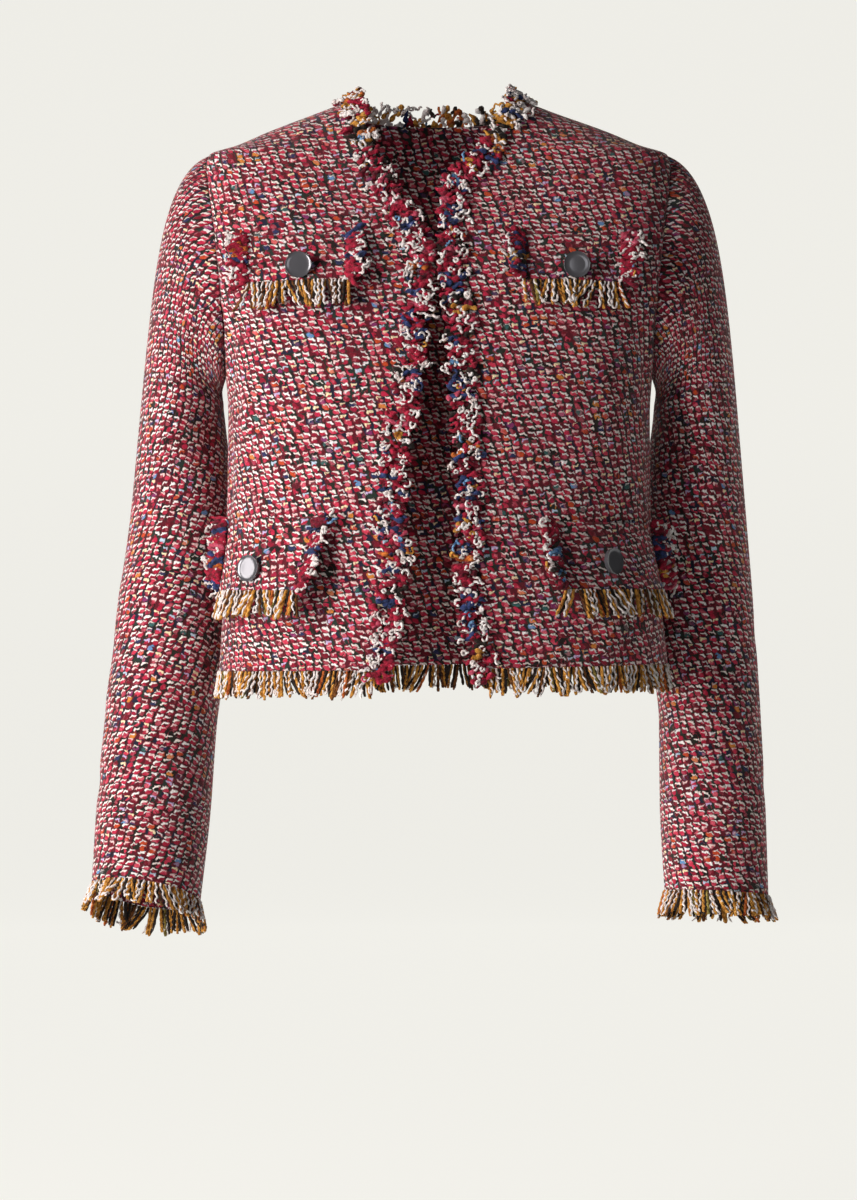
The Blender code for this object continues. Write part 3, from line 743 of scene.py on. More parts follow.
# ---------------------------------------------------------------------------------------------------
# Sleeves.
# Each is one piece of the same tweed, seamed under the arm and set into the armhole, straight to the
# elbow and a little bent below it, with the cloth's rows running round the arm.
# ---------------------------------------------------------------------------------------------------

CAP_SHARE = 0.42
SLOPE_AT_UNDERARM = math.radians(72)
SLOPE_AT_SHOULDER = math.radians(20)
CAP_LEAN = -0.1
CAP_FULLNESS = 0.042
CAP_LEAD = 1 / 3
CAP_TRAIL = 0.55

# Sections of the two sleeves from the upper arm to the cuff.
SLEEVES = {
    # z, outer x, inner x, middle y, half depth, front lift, outer lift
    "right": (
        (-0.270, 0.2540, 0.1810, 0.030, 0.061, 0.00, 0.00),
        (-0.360, 0.2640, 0.1735, 0.046, 0.057, 0.04, 0.03),
        (-0.450, 0.2770, 0.1780, 0.052, 0.054, 0.10, 0.06),
        (-0.530, 0.2850, 0.1890, 0.044, 0.051, 0.18, 0.09),
        (-0.600, 0.2900, 0.1930, 0.022, 0.048, 0.27, 0.12),
        (-0.674, 0.2920, 0.2000, -0.008, 0.045, 0.34, 0.15),
    ),
    "left": (
        (-0.270, 0.2590, 0.1860, 0.030, 0.061, 0.00, 0.00),
        (-0.360, 0.2680, 0.1780, 0.047, 0.057, 0.02, 0.00),
        (-0.450, 0.2760, 0.1820, 0.056, 0.054, 0.05, 0.00),
        (-0.530, 0.2810, 0.1930, 0.055, 0.051, 0.08, 0.00),
        (-0.600, 0.2840, 0.1930, 0.045, 0.048, 0.10, -0.02),
        (-0.676, 0.2850, 0.1960, 0.028, 0.045, 0.12, -0.05),
    ),
}

# Soft creases of the sleeves: turn goes from the body by the front, and along from armhole to cuff.
SLEEVE_CREASES = {
    # turn, along, slant, half turn, half along, depth
    "right": (
        (0.22, 0.56, 0.10, 0.12, 0.020, -0.0026),
        (0.30, 0.62, 0.12, 0.14, 0.018, 0.0022),
        (0.27, 0.69, 0.08, 0.12, 0.019, -0.0028),
        (0.33, 0.76, 0.05, 0.13, 0.018, 0.0020),
        (0.14, 0.44, 0.22, 0.10, 0.022, -0.0024),
        (0.16, 0.36, 0.26, 0.10, 0.020, 0.0022),
        (0.62, 0.70, -0.10, 0.13, 0.022, -0.0022),
        (0.70, 0.60, -0.12, 0.12, 0.020, 0.0020),
        (0.45, 0.88, 0.04, 0.15, 0.016, -0.0016),
        (0.84, 0.40, -0.20, 0.10, 0.022, -0.0026),
    ),
    "left": (
        (0.20, 0.58, 0.09, 0.12, 0.020, -0.0026),
        (0.28, 0.65, 0.12, 0.13, 0.018, 0.0022),
        (0.24, 0.72, 0.07, 0.12, 0.020, -0.0026),
        (0.13, 0.45, 0.20, 0.10, 0.022, -0.0024),
        (0.17, 0.37, 0.24, 0.10, 0.020, 0.0020),
        (0.60, 0.67, -0.11, 0.13, 0.021, -0.0022),
        (0.72, 0.58, -0.12, 0.12, 0.020, 0.0020),
        (0.38, 0.86, 0.06, 0.14, 0.017, -0.0018),
        (0.82, 0.42, -0.20, 0.10, 0.022, -0.0026),
    ),
}


def sleeve_ring(side, readers, turn, z):
    """A point of the sleeve at a level: turn 0 is next to the body and half a turn is outside."""
    outer, inner, middle, depth, front_lift, outer_lift = (read(z) for read in readers)
    out = mix(inner, outer, (1 - math.cos(turn)) / 2)
    forward = depth * math.sin(turn)
    lift = front_lift * forward + outer_lift * (out - (inner + outer) / 2)
    return Vector((SIDES[side] * out, middle - forward, z + lift))


def sleeve_surface(side):
    """surface(u, v): u goes round from the underarm by the front, v from the armhole to the cuff."""
    readers = [reader(SLEEVES[side], column) for column in range(1, 7)]
    top, cuff = SLEEVES[side][0][0], SLEEVES[side][-1][0]

    def surface(u, v):
        turn = 2 * math.pi * (u % 1.0)
        if v >= CAP_SHARE:
            return sleeve_ring(side, readers, turn, mix(top, cuff, (v - CAP_SHARE) / (1 - CAP_SHARE)))
        half, share = ("front", turn / math.pi) if turn <= math.pi else ("back", 2 - turn / math.pi)
        slope = mix(SLOPE_AT_UNDERARM, SLOPE_AT_SHOULDER, (1 - math.cos(turn)) / 2)
        leave = Vector((SIDES[side] * math.cos(slope), CAP_LEAN * math.sin(turn), -math.sin(slope)))
        leave.normalize()
        start = form(*armhole(side, half, share)) + leave * SEAM_GAP
        end = sleeve_ring(side, readers, turn, top)
        arrive = (sleeve_ring(side, readers, turn, top - 1e-4) - end).normalized()
        length = (end - start).length
        lead = start + leave * min(CAP_FULLNESS, length * CAP_LEAD)
        return bezier((start, lead, end - arrive * length * CAP_TRAIL, end), v / CAP_SHARE)

    return surface


def sleeve_crease(side, u, v):
    """How far the sleeve's cloth stands off there, less and less towards the armhole seam."""
    total = 0.0
    for turn, along, slant, half_turn, half_along, depth in SLEEVE_CREASES[side]:
        across = (u - turn + 0.5) % 1.0 - 0.5
        off = v - along - slant * across + 0.004 * math.sin(across * 40)
        total += depth * math.exp(-((across / half_turn) ** 2) - (off / half_along) ** 2)
    return total * min(1.0, v / 0.12)


def sleeve_skin(side, surface, u, v, lift=0.0):
    """A point of the sleeve moved out by lift."""
    low, high = max(v - 1e-3, 0.0), min(v + 1e-3, 1.0)
    round_it = surface(u + 1e-3, v) - surface(u - 1e-3, v)
    along_it = surface(u, high) - surface(u, low)
    away = round_it.cross(along_it).normalized() * -SIDES[side]
    return surface(u, v) + away * (lift + sleeve_crease(side, u, v))


def sleeve_grain(surface):
    """Metres of flat cloth: round from the outer line, and up from the cuff."""
    columns, rows = 24, 48
    points = {(i, j): surface(i / columns, j / rows) for i in range(columns + 1) for j in range(rows + 1)}
    girth = [sum((points[i + 1, j] - points[i, j]).length for i in range(columns)) for j in range(rows + 1)]
    rise = {}
    for i in range(columns + 1):
        rise[i, rows] = 0.0
        for j in range(rows - 1, -1, -1):
            rise[i, j] = rise[i, j + 1] + (points[i, j] - points[i, j + 1]).length

    def read(u, v):
        column, row = min(u * columns, columns - 1e-6), min(v * rows, rows - 1e-6)
        i, j = int(column), int(row)
        s, t = column - i, row - j
        around = mix(girth[j], girth[j + 1], t)
        up = mix(mix(rise[i, j], rise[i + 1, j], s), mix(rise[i, j + 1], rise[i + 1, j + 1], s), t)
        return (u - 0.5) * around, up

    return read


sleeve_surfaces = {side: sleeve_surface(side) for side in SIDES}
for side, surface in sleeve_surfaces.items():
    cloth(
        f"sleeve_{side}", 72, 132,
        partial(sleeve_skin, side, surface),
        sleeve_grain(surface),
        tweed,
        joined=True,
    )


# ---------------------------------------------------------------------------------------------------
# Pocket flaps.
# Four single layers of the tweed, sewn down along the top edge over the chest and the hips, and curling
# a little away from the body below. There are no pockets under them.
# ---------------------------------------------------------------------------------------------------

FLAP_CURL = 1.4
FLAP_WAVE = 0.0007
FLAP_BOW = 1.02
FLAPS = {
    # side, top z, inner x, outer x, height, drift out, stand off inside, outside, button share, drop
    "chest_right": ("right", -0.124, 0.071, 0.157, 0.0400, 0.000, 0.007, 0.006, 0.44, 0.030),
    "chest_left": ("left", -0.124, 0.070, 0.154, 0.0400, 0.000, 0.007, 0.006, 0.50, 0.030),
    "hip_right": ("right", -0.357, 0.096, 0.1725, 0.0600, 0.007, 0.018, 0.006, 0.46, 0.043),
    "hip_left": ("left", -0.361, 0.094, 0.1775, 0.0560, 0.003, 0.018, 0.006, 0.36, 0.034),
}


def flap_surface(name):
    """surface(u, v, lift): u from the inner edge out, v from the sewn top down, standing off below."""
    side, top, inner, outer, height, drift, stand_in, stand_out = FLAPS[name][:8]
    sign = SIDES[side]

    def surface(u, v, lift):
        z = top - height * v
        near = angle_at(sign * (inner + drift * v), z)
        far = angle_at(sign * outer, top) + sign * drift * v
        stand = mix(stand_in, stand_out, u) * max(v, 0.0) ** FLAP_CURL
        wave = FLAP_WAVE * math.sin(u * 9 + len(name)) * max(v, 0.0)
        return skin(mix(near, far, u), z, lift + stand + wave)

    return surface


flap_surfaces = {name: flap_surface(name) for name in FLAPS}
for name, surface in flap_surfaces.items():
    height = FLAPS[name][4]
    width = (surface(1.0, 0.5, 0.0) - surface(0.0, 0.5, 0.0)).length * FLAP_BOW
    sign = SIDES[FLAPS[name][0]]
    cloth(
        f"flap_{name}", 30, 18,
        lambda u, v, lift, s=surface: s(u, v, SEAM_GAP + CLOTH + lift),
        lambda u, v, w=width, h=height, g=sign: (u * w * g + 0.4 * h, -v * h),
        tweed,
    )


# ---------------------------------------------------------------------------------------------------
# Buttons.
# One flat round button on each flap, 22 mm across with a slim raised rim, pressed metal under dark
# gunmetal enamel. Each is sewn on through a shank behind.
# ---------------------------------------------------------------------------------------------------

# Enamel over pressed metal: dark grey and glassy, with a faint haze, so it mirrors the studio lights.
enamel, enamel_tree, enamel_shader = fresh_material("gunmetal_enamel")
enamel_place = add(enamel_tree, "TexCoord")
enamel_haze = add(
    enamel_tree, "TexNoise", {"Vector": enamel_place.outputs["Object"], "Scale": 60.0, "Detail": 2.0}
).outputs["Fac"]
enamel_tone = add(
    enamel_tree, "Mix", {"Factor": enamel_haze, 6: linear("#57575C"), 7: linear("#636368")}, data_type="RGBA"
)
enamel_gloss = add(enamel_tree, "MapRange", {"Value": enamel_haze, "To Min": 0.15, "To Max": 0.2})
enamel_tree.links.new(enamel_tone.outputs[2], enamel_shader.inputs["Base Color"])
enamel_tree.links.new(enamel_gloss.outputs[0], enamel_shader.inputs["Roughness"])
enamel_shader.inputs["Metallic"].default_value = 0.45

BUTTON_DIAMETER = 0.022
BUTTON_THICKNESS = 0.004
BUTTON_TAPER = 0.0006
BUTTON_RIM = 0.0016
BUTTON_DISH = 0.0009
BUTTON_SLOPE = 0.0035
BUTTON_CROWN = 0.0003
BUTTON_ROUNDING = 0.0003
BUTTON_SHARP = 35
BUTTON_GAP = 0.0003

# Which way each button faces as it hangs on its shank.
BUTTON_FACES = {
    "chest_right": (-0.12, -0.99, 0.06),
    "chest_left": (0.13, -0.98, 0.06),
    "hip_right": (-0.58, -0.80, 0.10),
    "hip_left": (0.76, -0.64, 0.08),
}


def flap_frame(surface, u, v):
    """The flap's middle point there, and its outward, downward and sideways directions."""
    middle = SEAM_GAP + CLOTH / 2
    point = surface(u, v, middle)
    down = (surface(u, v + 0.02, middle) - surface(u, v - 0.02, middle)).normalized()
    sideways = (surface(u + 0.02, v, middle) - surface(u - 0.02, v, middle)).normalized()
    away = down.cross(sideways).normalized()
    if away.dot(surface(u, v, CLOTH) - surface(u, v, 0.0)) < 0:
        away.negate()
    return point, away, down, sideways


for name, surface in flap_surfaces.items():
    height, share, drop = FLAPS[name][4], *FLAPS[name][8:]
    _, away, _, _ = flap_frame(surface, share, drop / height)
    facing = Vector(BUTTON_FACES[name]).normalized()
    lean = facing.cross(away).length * (BUTTON_DIAMETER / 2 - BUTTON_TAPER)
    seat = surface(share, drop / height, SEAM_GAP + CLOTH) + away * (BUTTON_GAP + lean)
    disc = bmesh.new()
    bmesh.ops.create_cone(
        disc, cap_ends=True, segments=48, radius1=BUTTON_DIAMETER / 2 - BUTTON_TAPER,
        radius2=BUTTON_DIAMETER / 2, depth=BUTTON_THICKNESS,
    )
    face = max(disc.faces, key=lambda f: f.calc_center_median().z)
    bmesh.ops.inset_region(disc, faces=[face], thickness=BUTTON_RIM)
    bmesh.ops.translate(disc, verts=face.verts, vec=(0, 0, -BUTTON_DISH))
    bmesh.ops.inset_region(disc, faces=[face], thickness=BUTTON_SLOPE)
    bmesh.ops.translate(disc, verts=face.verts, vec=(0, 0, BUTTON_CROWN))
    bmesh.ops.translate(disc, verts=disc.verts, vec=(0, 0, BUTTON_THICKNESS / 2))
    turn = facing.to_track_quat("Z", "Y").to_matrix()
    bmesh.ops.rotate(disc, verts=disc.verts, cent=(0, 0, 0), matrix=turn)
    bmesh.ops.translate(disc, verts=disc.verts, vec=seat)
    button = finished(f"enamel_button_{name}", disc, enamel, smooth_angle=BUTTON_SHARP)
    rim = button.modifiers.new("rounded_rim", "BEVEL")
    rim.width = BUTTON_ROUNDING
    rim.segments = 2
    rim.limit_method = "ANGLE"
    rim.angle_limit = math.radians(BUTTON_SHARP)
    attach(button, "root")
    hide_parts(f"button_{name}")


# ---------------------------------------------------------------------------------------------------
# Frayed weft: the front edges, the neckline and the sides of the flaps.
# The cloth's own cut edge, teased out: soft crimson slubs lie across the edge, with curly cream loops,
# navy and a few bright yarns caught among them.
# ---------------------------------------------------------------------------------------------------

LAY_GAP = 0.0010
TRIM_WALL = 0.006
EDGE_REACH = 0.008
TRIM_ON_CLOTH = 0.019
TRIM_DROP = 0.012
SIDE_TUFT = 0.022
TUFT_FLARE = math.radians(20)
HIP_TUFT_FLARE = math.radians(45)
EDGE_SLUB_PITCH = 0.0014
TUFT_SLUB_PITCH = 0.0010
NECK_FRAY_Z = -0.045
FULL_TURN = 6.28


def wool_yarn(name, main, deep, bright, twist):
    """A spun wool yarn, hairy and matt: its tone changes every 4 mm or so, and its hair and ply are about
    a millimetre across, with painted shade darkening the grooves."""
    material, tree, shader = fresh_material(name)
    place = add(tree, "TexCoord")
    tone = add(tree, "TexNoise", {"Vector": place.outputs["Object"], "Scale": 260.0, "Detail": 2.0})
    hair = add(
        tree, "TexNoise",
        {"Vector": place.outputs["Object"], "Scale": twist, "Detail": 3.0, "Roughness": 0.7},
    )
    ramp = add(tree, "ValToRGB", {"Fac": tone.outputs["Fac"]})
    stops = (*ramp.color_ramp.elements, ramp.color_ramp.elements.new(0.5))
    for element, (at, colour) in zip(stops, ((0.32, deep), (0.5, main), (0.7, bright))):
        element.position = at
        element.color = linear(colour)
    # Painted shade: the colour darkens where the hair's bump dips into the grooves, and lightens a little on
    # the high hair.
    groove_shade = add(
        tree, "MapRange",
        {"Value": hair.outputs["Fac"], "From Min": 0.3, "From Max": 0.6, "To Min": 0.55, "To Max": 1.1},
    )
    shaded = add(tree, "VectorMath", {0: ramp.outputs[0], "Scale": groove_shade.outputs[0]}, operation="SCALE")
    tree.links.new(shaded.outputs[0], shader.inputs["Base Color"])
    bump = add(tree, "Bump", {"Height": hair.outputs["Fac"], "Distance": 0.0012, "Strength": 0.9})
    tree.links.new(bump.outputs[0], shader.inputs["Normal"])
    shader.inputs["Roughness"].default_value = 0.95
    shader.inputs["Specular IOR Level"].default_value = 0.2
    shader.inputs["Sheen Weight"].default_value = 0.08
    return material


DYES = {
    # main, deep, bright, hair scale
    "crimson": ("#A00E30", "#5E0618", "#BE2444", 900.0),
    "wine": ("#62081C", "#33040E", "#861430", 900.0),
    "rose": ("#BC2C4C", "#86142E", "#D8607A", 900.0),
    "cream": ("#F3ECE8", "#D8C8C4", "#FDFBFA", 1100.0),
    "navy": ("#1E2850", "#0E1226", "#3A4A80", 900.0),
    "black": ("#1E1614", "#0C0807", "#3A2E28", 900.0),
    "brown": ("#5E3414", "#33190A", "#8A5526", 1000.0),
    "rust": ("#C24E1A", "#82300E", "#DE7C36", 1000.0),
    "mustard": ("#CC7F1E", "#8A4E0C", "#EDAE50", 1100.0),
    "olive": ("#86702A", "#4A3E14", "#A8944A", 1000.0),
    "blue": ("#4E86BE", "#2A5688", "#8AB6DC", 900.0),
}
yarns = {name: wool_yarn(f"wool_{name}", *tones) for name, tones in DYES.items()}
dye_names = list(DYES)


def yarn_piece(node, strands):
    """Many yarns as one mesh, in place of a solid. A strand is (dye, points, radii)."""
    name = f"yarn_{node}"
    curve = bpy.data.curves.new(name, "CURVE")
    curve.dimensions = "3D"
    curve.bevel_depth = 1.0
    curve.bevel_resolution = 1
    curve.use_fill_caps = True
    for dye in dye_names:
        curve.materials.append(yarns[dye])
    for dye, points, radii in strands:
        spline = curve.splines.new("POLY")
        spline.points.add(len(points) - 1)
        spline.material_index = dye_names.index(dye)
        spline.use_smooth = True
        for knot, point, radius in zip(spline.points, points, radii):
            knot.co = (*point, 1.0)
            knot.radius = radius
    holder = bpy.data.objects.new(f"{name}_curve", curve)
    bpy.context.scene.collection.objects.link(holder)
    bpy.context.view_layer.update()
    data = bpy.data.meshes.new_from_object(holder.evaluated_get(bpy.context.evaluated_depsgraph_get()))
    bpy.data.objects.remove(holder)
    bpy.data.curves.remove(curve)
    data.name = name
    data.shade_smooth()
    piece = bpy.data.objects.new(name, data)
    bpy.context.scene.collection.objects.link(piece)
    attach(piece, "root")
    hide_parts(node)
    return piece


def pick(chances, shares):
    """A name, picked by its share of the whole."""
    return chances.choices(list(shares), list(shares.values()))[0]


WEFT_SHARES = {
    "crimson": 46, "wine": 11, "rose": 6, "navy": 12, "black": 6, "rust": 2, "mustard": 1, "blue": 1,
}
NECK_SHARES = {"crimson": 20, "mustard": 22, "cream": 26, "navy": 8, "black": 14, "rust": 6}
CURL_SHARES = {"cream": 88, "rose": 3, "blue": 3, "mustard": 3, "navy": 3}


SLUB_WANDER = 0.0012
CURL_STEP = 0.00115


def slub(chances, dye, start, run, up, along, length):
    """A fat soft yarn that runs out over the edge from start, and wanders a little."""
    knots = 7
    thick = chances.uniform(0.0014, 0.0024)
    phase = chances.uniform(0, FULL_TURN)
    veer = chances.uniform(-0.5, 0.5)
    height = chances.uniform(0.1, 0.75)
    points, radii = [], []
    for i in range(knots):
        t = i / (knots - 1)
        side = veer * length * t + SLUB_WANDER * math.sin(phase + 5 * t)
        lift = (height + 0.25 * math.sin(phase + 4 * t)) * (TRIM_WALL - thick)
        points.append(start + run * length * t + along * side + up * max(lift, thick * 0.8))
        tip = 0.5 if i in (0, knots - 1) else 1.0
        radii.append(thick * (1.0 + 0.35 * math.sin(phase * 3 + t * 8)) * tip)
    return dye, points, radii


def curl(chances, dye, start, run, up, along):
    """A short tight curl of plied yarn, thrown down any way round."""
    knots = chances.randint(8, 12)
    thick = chances.uniform(0.00085, 0.00125)
    heading = chances.uniform(0, FULL_TURN)
    bend = chances.choice((-1, 1)) * chances.uniform(0.35, 0.85)
    height = chances.uniform(0.55, 0.9) * (TRIM_WALL - thick)
    across, beyond = 0.0, 0.0
    points, radii = [], []
    for i in range(knots):
        lift = height + 0.0010 * math.sin(i * 1.1 + heading)
        points.append(start + run * across + along * beyond + up * min(lift, TRIM_WALL))
        tip = 0.6 if i in (0, knots - 1) else 1.0
        radii.append(thick * (1.0 + 0.18 * math.sin(i * 2.3)) * tip)
        across += CURL_STEP * math.cos(heading)
        beyond += CURL_STEP * math.sin(heading)
        heading += bend
        if chances.random() < 0.22:
            bend = -bend
    return dye, points, radii


def beside(rail, share, across):
    """The (angle, z) that lies across metres to the right of a rail, seen along it from outside."""
    angle, z = rail(share)
    ahead = form(*rail(min(share + 1e-3, 1.0))) - form(*rail(max(share - 1e-3, 0.0)))
    sideways = ahead.cross(form_normal(angle, z)).normalized() * across
    round_body, up_body = form_slopes(angle, z)
    rr, ru, uu = round_body.dot(round_body), round_body.dot(up_body), up_body.dot(up_body)
    r, u = sideways.dot(round_body), sideways.dot(up_body)
    scale = rr * uu - ru * ru
    return angle + (r * uu - u * ru) / scale, z + (u * rr - r * ru) / scale


def edge_strands(rail, sign, half, seed):
    """Teased yarns all along one edge, the slubs in like-dyed threes, and many with a curl beside."""
    chances = random.Random(seed)
    strands = []
    steps = int(rail.length / EDGE_SLUB_PITCH)
    limit = math.pi / 2 - 0.004
    middle = 0.0 if half == "front" else math.pi

    def at(share, across):
        angle, z = beside(rail, min(max(share, 0.0), 1.0), sign * across)
        return middle + min(max(angle - middle, -limit), limit), z

    for step in range(steps):
        share = (step + chances.random()) / steps
        if step % 3 == 0:
            tuft = pick(chances, NECK_SHARES if at(share, 0.0)[1] > NECK_FRAY_Z else WEFT_SHARES)
        span = (0.0, 0.55) if chances.random() < 0.5 else (0.45, 0.75)
        inner = mix(TRIM_ON_CLOTH, -EDGE_REACH, chances.uniform(*span))
        spot = at(share, inner)
        start = skin(*spot, LAY_GAP)
        up = form_normal(*spot)
        run = (skin(*at(share, inner - 0.004), LAY_GAP) - start).normalized()
        along = run.cross(up).normalized()
        length = min(chances.uniform(0.006, 0.013), inner + EDGE_REACH * 1.25)
        strands.append(slub(chances, tuft, start, run, up, along, length))
        if chances.random() < 0.6:
            reach = mix(TRIM_ON_CLOTH * 0.8, -EDGE_REACH, chances.uniform(0.0, 1.0))
            spot = at(share, reach)
            dye = pick(chances, CURL_SHARES)
            strands.append(curl(chances, dye, skin(*spot, LAY_GAP), run, up, along))
    return strands


for side, sign in SIDES.items():
    rail = front_rail(side, HEM_Z - TRIM_DROP)
    strands = edge_strands(rail, sign, "front", 11 + sign)
    yarn_piece(f"trim_front_{side}", strands)

right_to_nape = [(angle + 2 * math.pi, z) for angle, z in reversed(collar("right"))]
neck_rail = evenly(right_to_nape + collar("left")[1:])
yarn_piece("trim_neck_back", edge_strands(neck_rail, 1, "back", 31))

tufts = {name: [] for name in FLAPS}
for index, (name, surface) in enumerate(flap_surfaces.items()):
    for end in ("inner", "outer"):
        chances = random.Random(40 + index * 2 + (end == "outer"))
        edge, sign = (0.0, -1) if end == "inner" else (1.0, 1)
        flare = HIP_TUFT_FLARE if end == "outer" and name.startswith("hip") else TUFT_FLARE
        strands = []
        steps = int(FLAPS[name][4] / TUFT_SLUB_PITCH)
        for step in range(steps):
            v = (step + chances.random()) / steps
            point, away, down, sideways = flap_frame(surface, edge, v)
            out = sideways * sign * math.cos(flare) + away * math.sin(flare)
            over = (away * math.cos(flare) - sideways * sign * math.sin(flare)).normalized()
            if step % 4 == 0:
                dye = pick(chances, WEFT_SHARES)
            slant = (out + down * chances.uniform(-0.2, 0.45)).normalized()
            root = point - sideways * sign * 0.003 * chances.random() + over * 0.0005
            along = slant.cross(over).normalized()
            length = SIDE_TUFT * chances.uniform(0.4, 0.8)
            strands.append(slub(chances, dye, root, slant, over, along, length))
            if chances.random() < 0.6:
                root = point + out * SIDE_TUFT * chances.uniform(0.05, 0.75)
                strands.append(curl(chances, pick(chances, CURL_SHARES), root, out, over, down))
        tufts[name].append(yarn_piece(f"tuft_{name}_{end}", strands))


# ---------------------------------------------------------------------------------------------------
# Fringes of the warp: the hem, the cuffs and the lower edges of the flaps.
# With the weft drawn out, the thick warp hangs free for about 25 mm: plied mustard and rust yarns,
# crinkled cream ones that end in loops, and brown-black ones behind.
# ---------------------------------------------------------------------------------------------------

HEM_FRINGE = 0.025
HEM_FLARE = 0.004
CUFF_FRINGE = 0.024
CUFF_FLARE = 0.35
FLAP_FRINGE = 0.027
FLAP_FAN = 3.0
WARP_PITCH = 0.0044
PLY_THICK = 0.00105
PLY_TWIST = 0.00065
LOOP_KNOTS = 6
WARP_SHARES = {"mustard": 66, "rust": 9, "olive": 7, "brown": 18}


def warp_yarn(chances, dye, spot, lean, drop, layer, thick, crinkle, waves, loop=0.0, start=0.0):
    """One hanging yarn as (across, down, out) knots in metres. A loop turns its end up again."""
    knots = 12 if crinkle > 0.0006 else 8
    phase = start or chances.uniform(0, FULL_TURN)
    steps, radii = [], []
    for k in range(knots):
        t = k / (knots - 1)
        swing = phase + t * waves * 2 * math.pi
        across = spot + lean * drop * t**1.3 + crinkle * math.sin(swing) * min(1.0, 4 * t + 0.2)
        steps.append((across, 0.0005 + t * (drop - thick), layer + 0.8 * crinkle * math.cos(swing)))
        radii.append(thick * (1.0 + 0.15 * math.sin(swing * 2 + 1)))
    if loop:
        end = steps[-1]
        wide = loop * 0.5
        for k in range(1, LOOP_KNOTS + 1):
            turn = math.pi * k / (LOOP_KNOTS - 1)
            across = end[0] + wide * (1 - math.cos(turn))
            down = end[1] + wide * math.sin(turn) * 0.8 - 0.0016 * max(k - 4, 0)
            steps.append((across, down, end[2]))
            radii.append(thick)
    radii[-1] *= 0.6
    return dye, steps, radii


def warp_strands(chances, place, width, length, fan=0.0):
    """Warp yarns in little bundles side by side, which lean together and fan out at the two ends: a dark
    yarn behind, one or two plied ones and a crinkled cream one. place(across, down, out) is in metres."""
    strands = []
    count = max(round(width / WARP_PITCH), 2)
    sway = chances.uniform(0, FULL_TURN)
    for i in range(count):
        middle = (i + 0.5 + chances.uniform(-0.2, 0.2)) * width / count
        lean = 0.26 * math.sin(middle * 75 + sway) + 0.22 * math.sin(middle * 190 + 2 * sway)
        lean += chances.uniform(-0.18, 0.18) + fan * (middle / width - 0.5) ** 3
        drop = length * chances.uniform(0.82, 1.0)
        bundle = []
        if chances.random() < 0.9:
            spot = middle + chances.uniform(0.0014, 0.0026)
            thick = chances.uniform(0.0011, 0.0015)
            layer = chances.uniform(-0.0008, 0.0008)
            bundle.append(warp_yarn(chances, "black", spot, lean, drop * 0.94, layer, thick, 0.0003, 1.5))
        for _ in range(1 if chances.random() < 0.75 else 2):
            dye = pick(chances, WARP_SHARES)
            spot = middle + chances.uniform(-0.0014, 0.0006)
            start = chances.uniform(0, 3.1)
            tilt = lean + chances.uniform(-0.10, 0.10)
            layer = chances.uniform(-0.0004, 0.0012)
            for ply in (start, start + math.pi):
                yarn = warp_yarn(chances, dye, spot, tilt, drop, layer, PLY_THICK, PLY_TWIST, 2.2, start=ply)
                bundle.append(yarn)
        if chances.random() < 0.8:
            spot = middle + chances.uniform(-0.0020, 0.0016)
            loop = 0.0
            if chances.random() < 0.5:
                loop = chances.choice((-1, 1)) * chances.uniform(0.0025, 0.0045)
            tall = drop - abs(loop) * 0.5 - 0.002 * chances.random()
            tilt = lean + chances.uniform(-0.22, 0.22)
            thick = chances.uniform(0.0008, 0.00105)
            waves = chances.uniform(2.2, 3.6)
            bundle.append(warp_yarn(chances, "cream", spot, tilt, tall, 0.0012, thick, 0.0009, waves, loop))
        for dye, steps, radii in bundle:
            strands.append((dye, [place(*step) for step in steps], radii))
    return strands


def hem_place(line):
    """Places a point of the hem's fringe along a line of the hem."""

    def place(across, down, out):
        angle, z = line(across / line.length)
        away = form_normal(angle, z)
        away.z = 0
        away.normalize()
        stand = out - CLOTH / 2 + crease(angle, z) + HEM_FLARE * down / HEM_FRINGE
        return form(angle, z) + away * stand - Vector((0, 0, down))

    return place


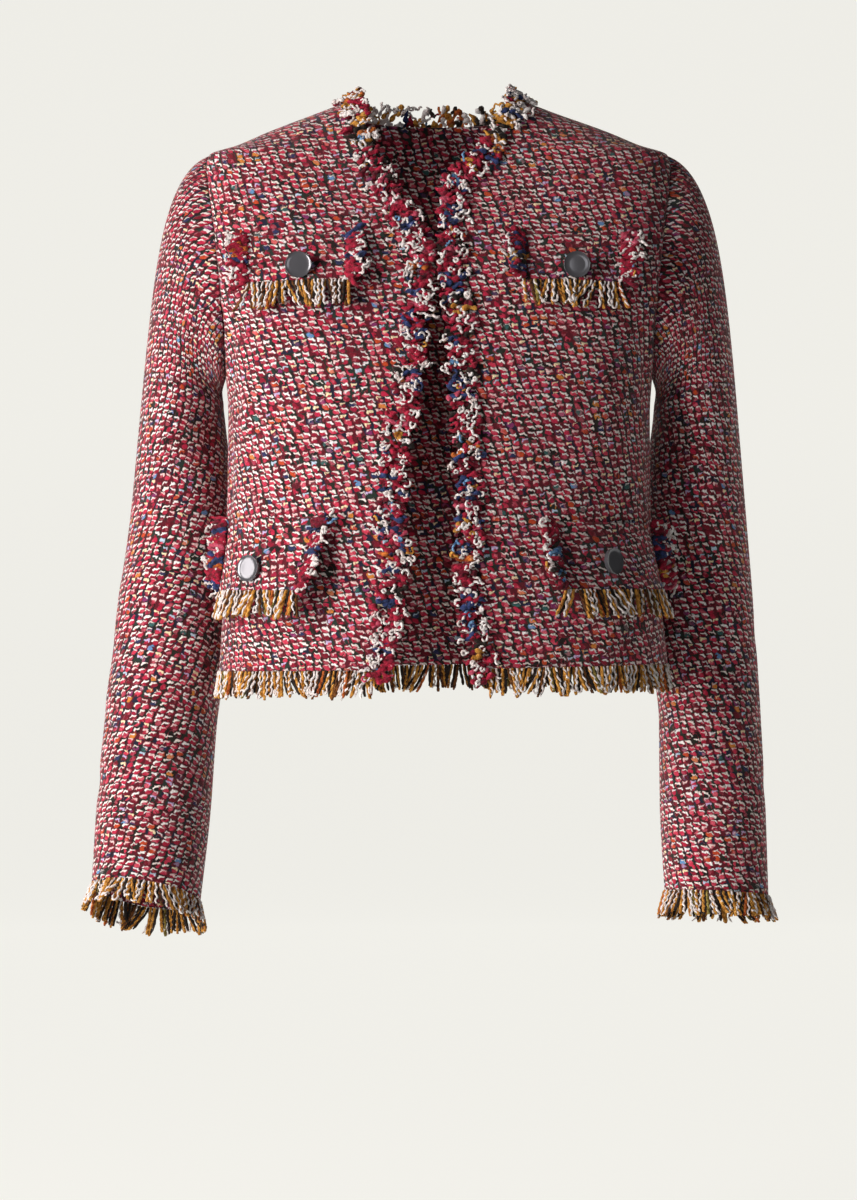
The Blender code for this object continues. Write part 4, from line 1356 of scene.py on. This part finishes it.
hem_turns = {}
for side, sign in SIDES.items():
    inner_turn = angle_at(sign * (edge_out[side](HEM_Z) + TRIM_ON_CLOTH * 0.5), HEM_Z)
    hem_turns[side] = (inner_turn, sign * (math.pi / 2 - seam_turn("front", HEM_Z)))
hem_turns["back"] = (math.pi / 2 + seam_turn("back", HEM_Z), 1.5 * math.pi - seam_turn("back", HEM_Z))
for number, (side, (first, last)) in enumerate(hem_turns.items()):
    turns = [mix(first, last, i / 40) for i in range(41)]
    line = evenly([(turn, hem_z(turn)) for turn in turns])
    strands = warp_strands(random.Random(70 + number), hem_place(line), line.length, HEM_FRINGE)
    yarn_piece(f"fringe_hem_{side}", strands)

# Each sheet's flat width and length, and its area, measured along the cloth: right and then left.
for side, flat, area in (("right", (0.235, 0.525), 0.0942), ("left", (0.241, 0.522), 0.1001)):
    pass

for side, sign in SIDES.items():
    surface = sleeve_surfaces[side]
    width = sum((surface((i + 1) / 24, 1.0) - surface(i / 24, 1.0)).length for i in range(24))

    def place(across, down, out, surface=surface, side=side, sign=sign, width=width):
        u = across / width
        edge = sleeve_skin(side, surface, u, 1.0, -CLOTH / 2)
        along = (surface(u, 1.0) - surface(u, 0.99)).normalized()
        round_it = surface(u + 0.01, 1.0) - surface(u - 0.01, 1.0)
        away = round_it.cross(along).normalized() * -sign
        return edge + along * down + away * (out + CUFF_FLARE * down)

    strands = warp_strands(random.Random(80 + sign), place, width, CUFF_FRINGE)
    yarn_piece(f"fringe_cuff_{side}", strands)

for side, flat, area in (("right", (0.478, 0.652), 0.1761), ("left", (0.477, 0.654), 0.1707)):
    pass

for number, (name, surface) in enumerate(flap_surfaces.items()):
    width = (surface(1.0, 1.0, 0.0) - surface(0.0, 1.0, 0.0)).length

    def place(across, down, out, surface=surface, width=width):
        u = min(max(across / width, 0.0), 1.0)
        point, away, drop, sideways = flap_frame(surface, u, 1.0)
        return point + drop * down + away * out + sideways * (across - u * width)

    strands = warp_strands(random.Random(90 + number), place, width, FLAP_FRINGE, FLAP_FAN)
    yarn_piece(f"fringe_flap_{name}", strands)

FLAP_CUTS = {
    "chest_right": (0.097, 0.040),
    "chest_left": (0.094, 0.040),
    "hip_right": (0.115, 0.060),
    "hip_left": (0.127, 0.056),
}
for name, flat in FLAP_CUTS.items():
    side = FLAPS[name][0]
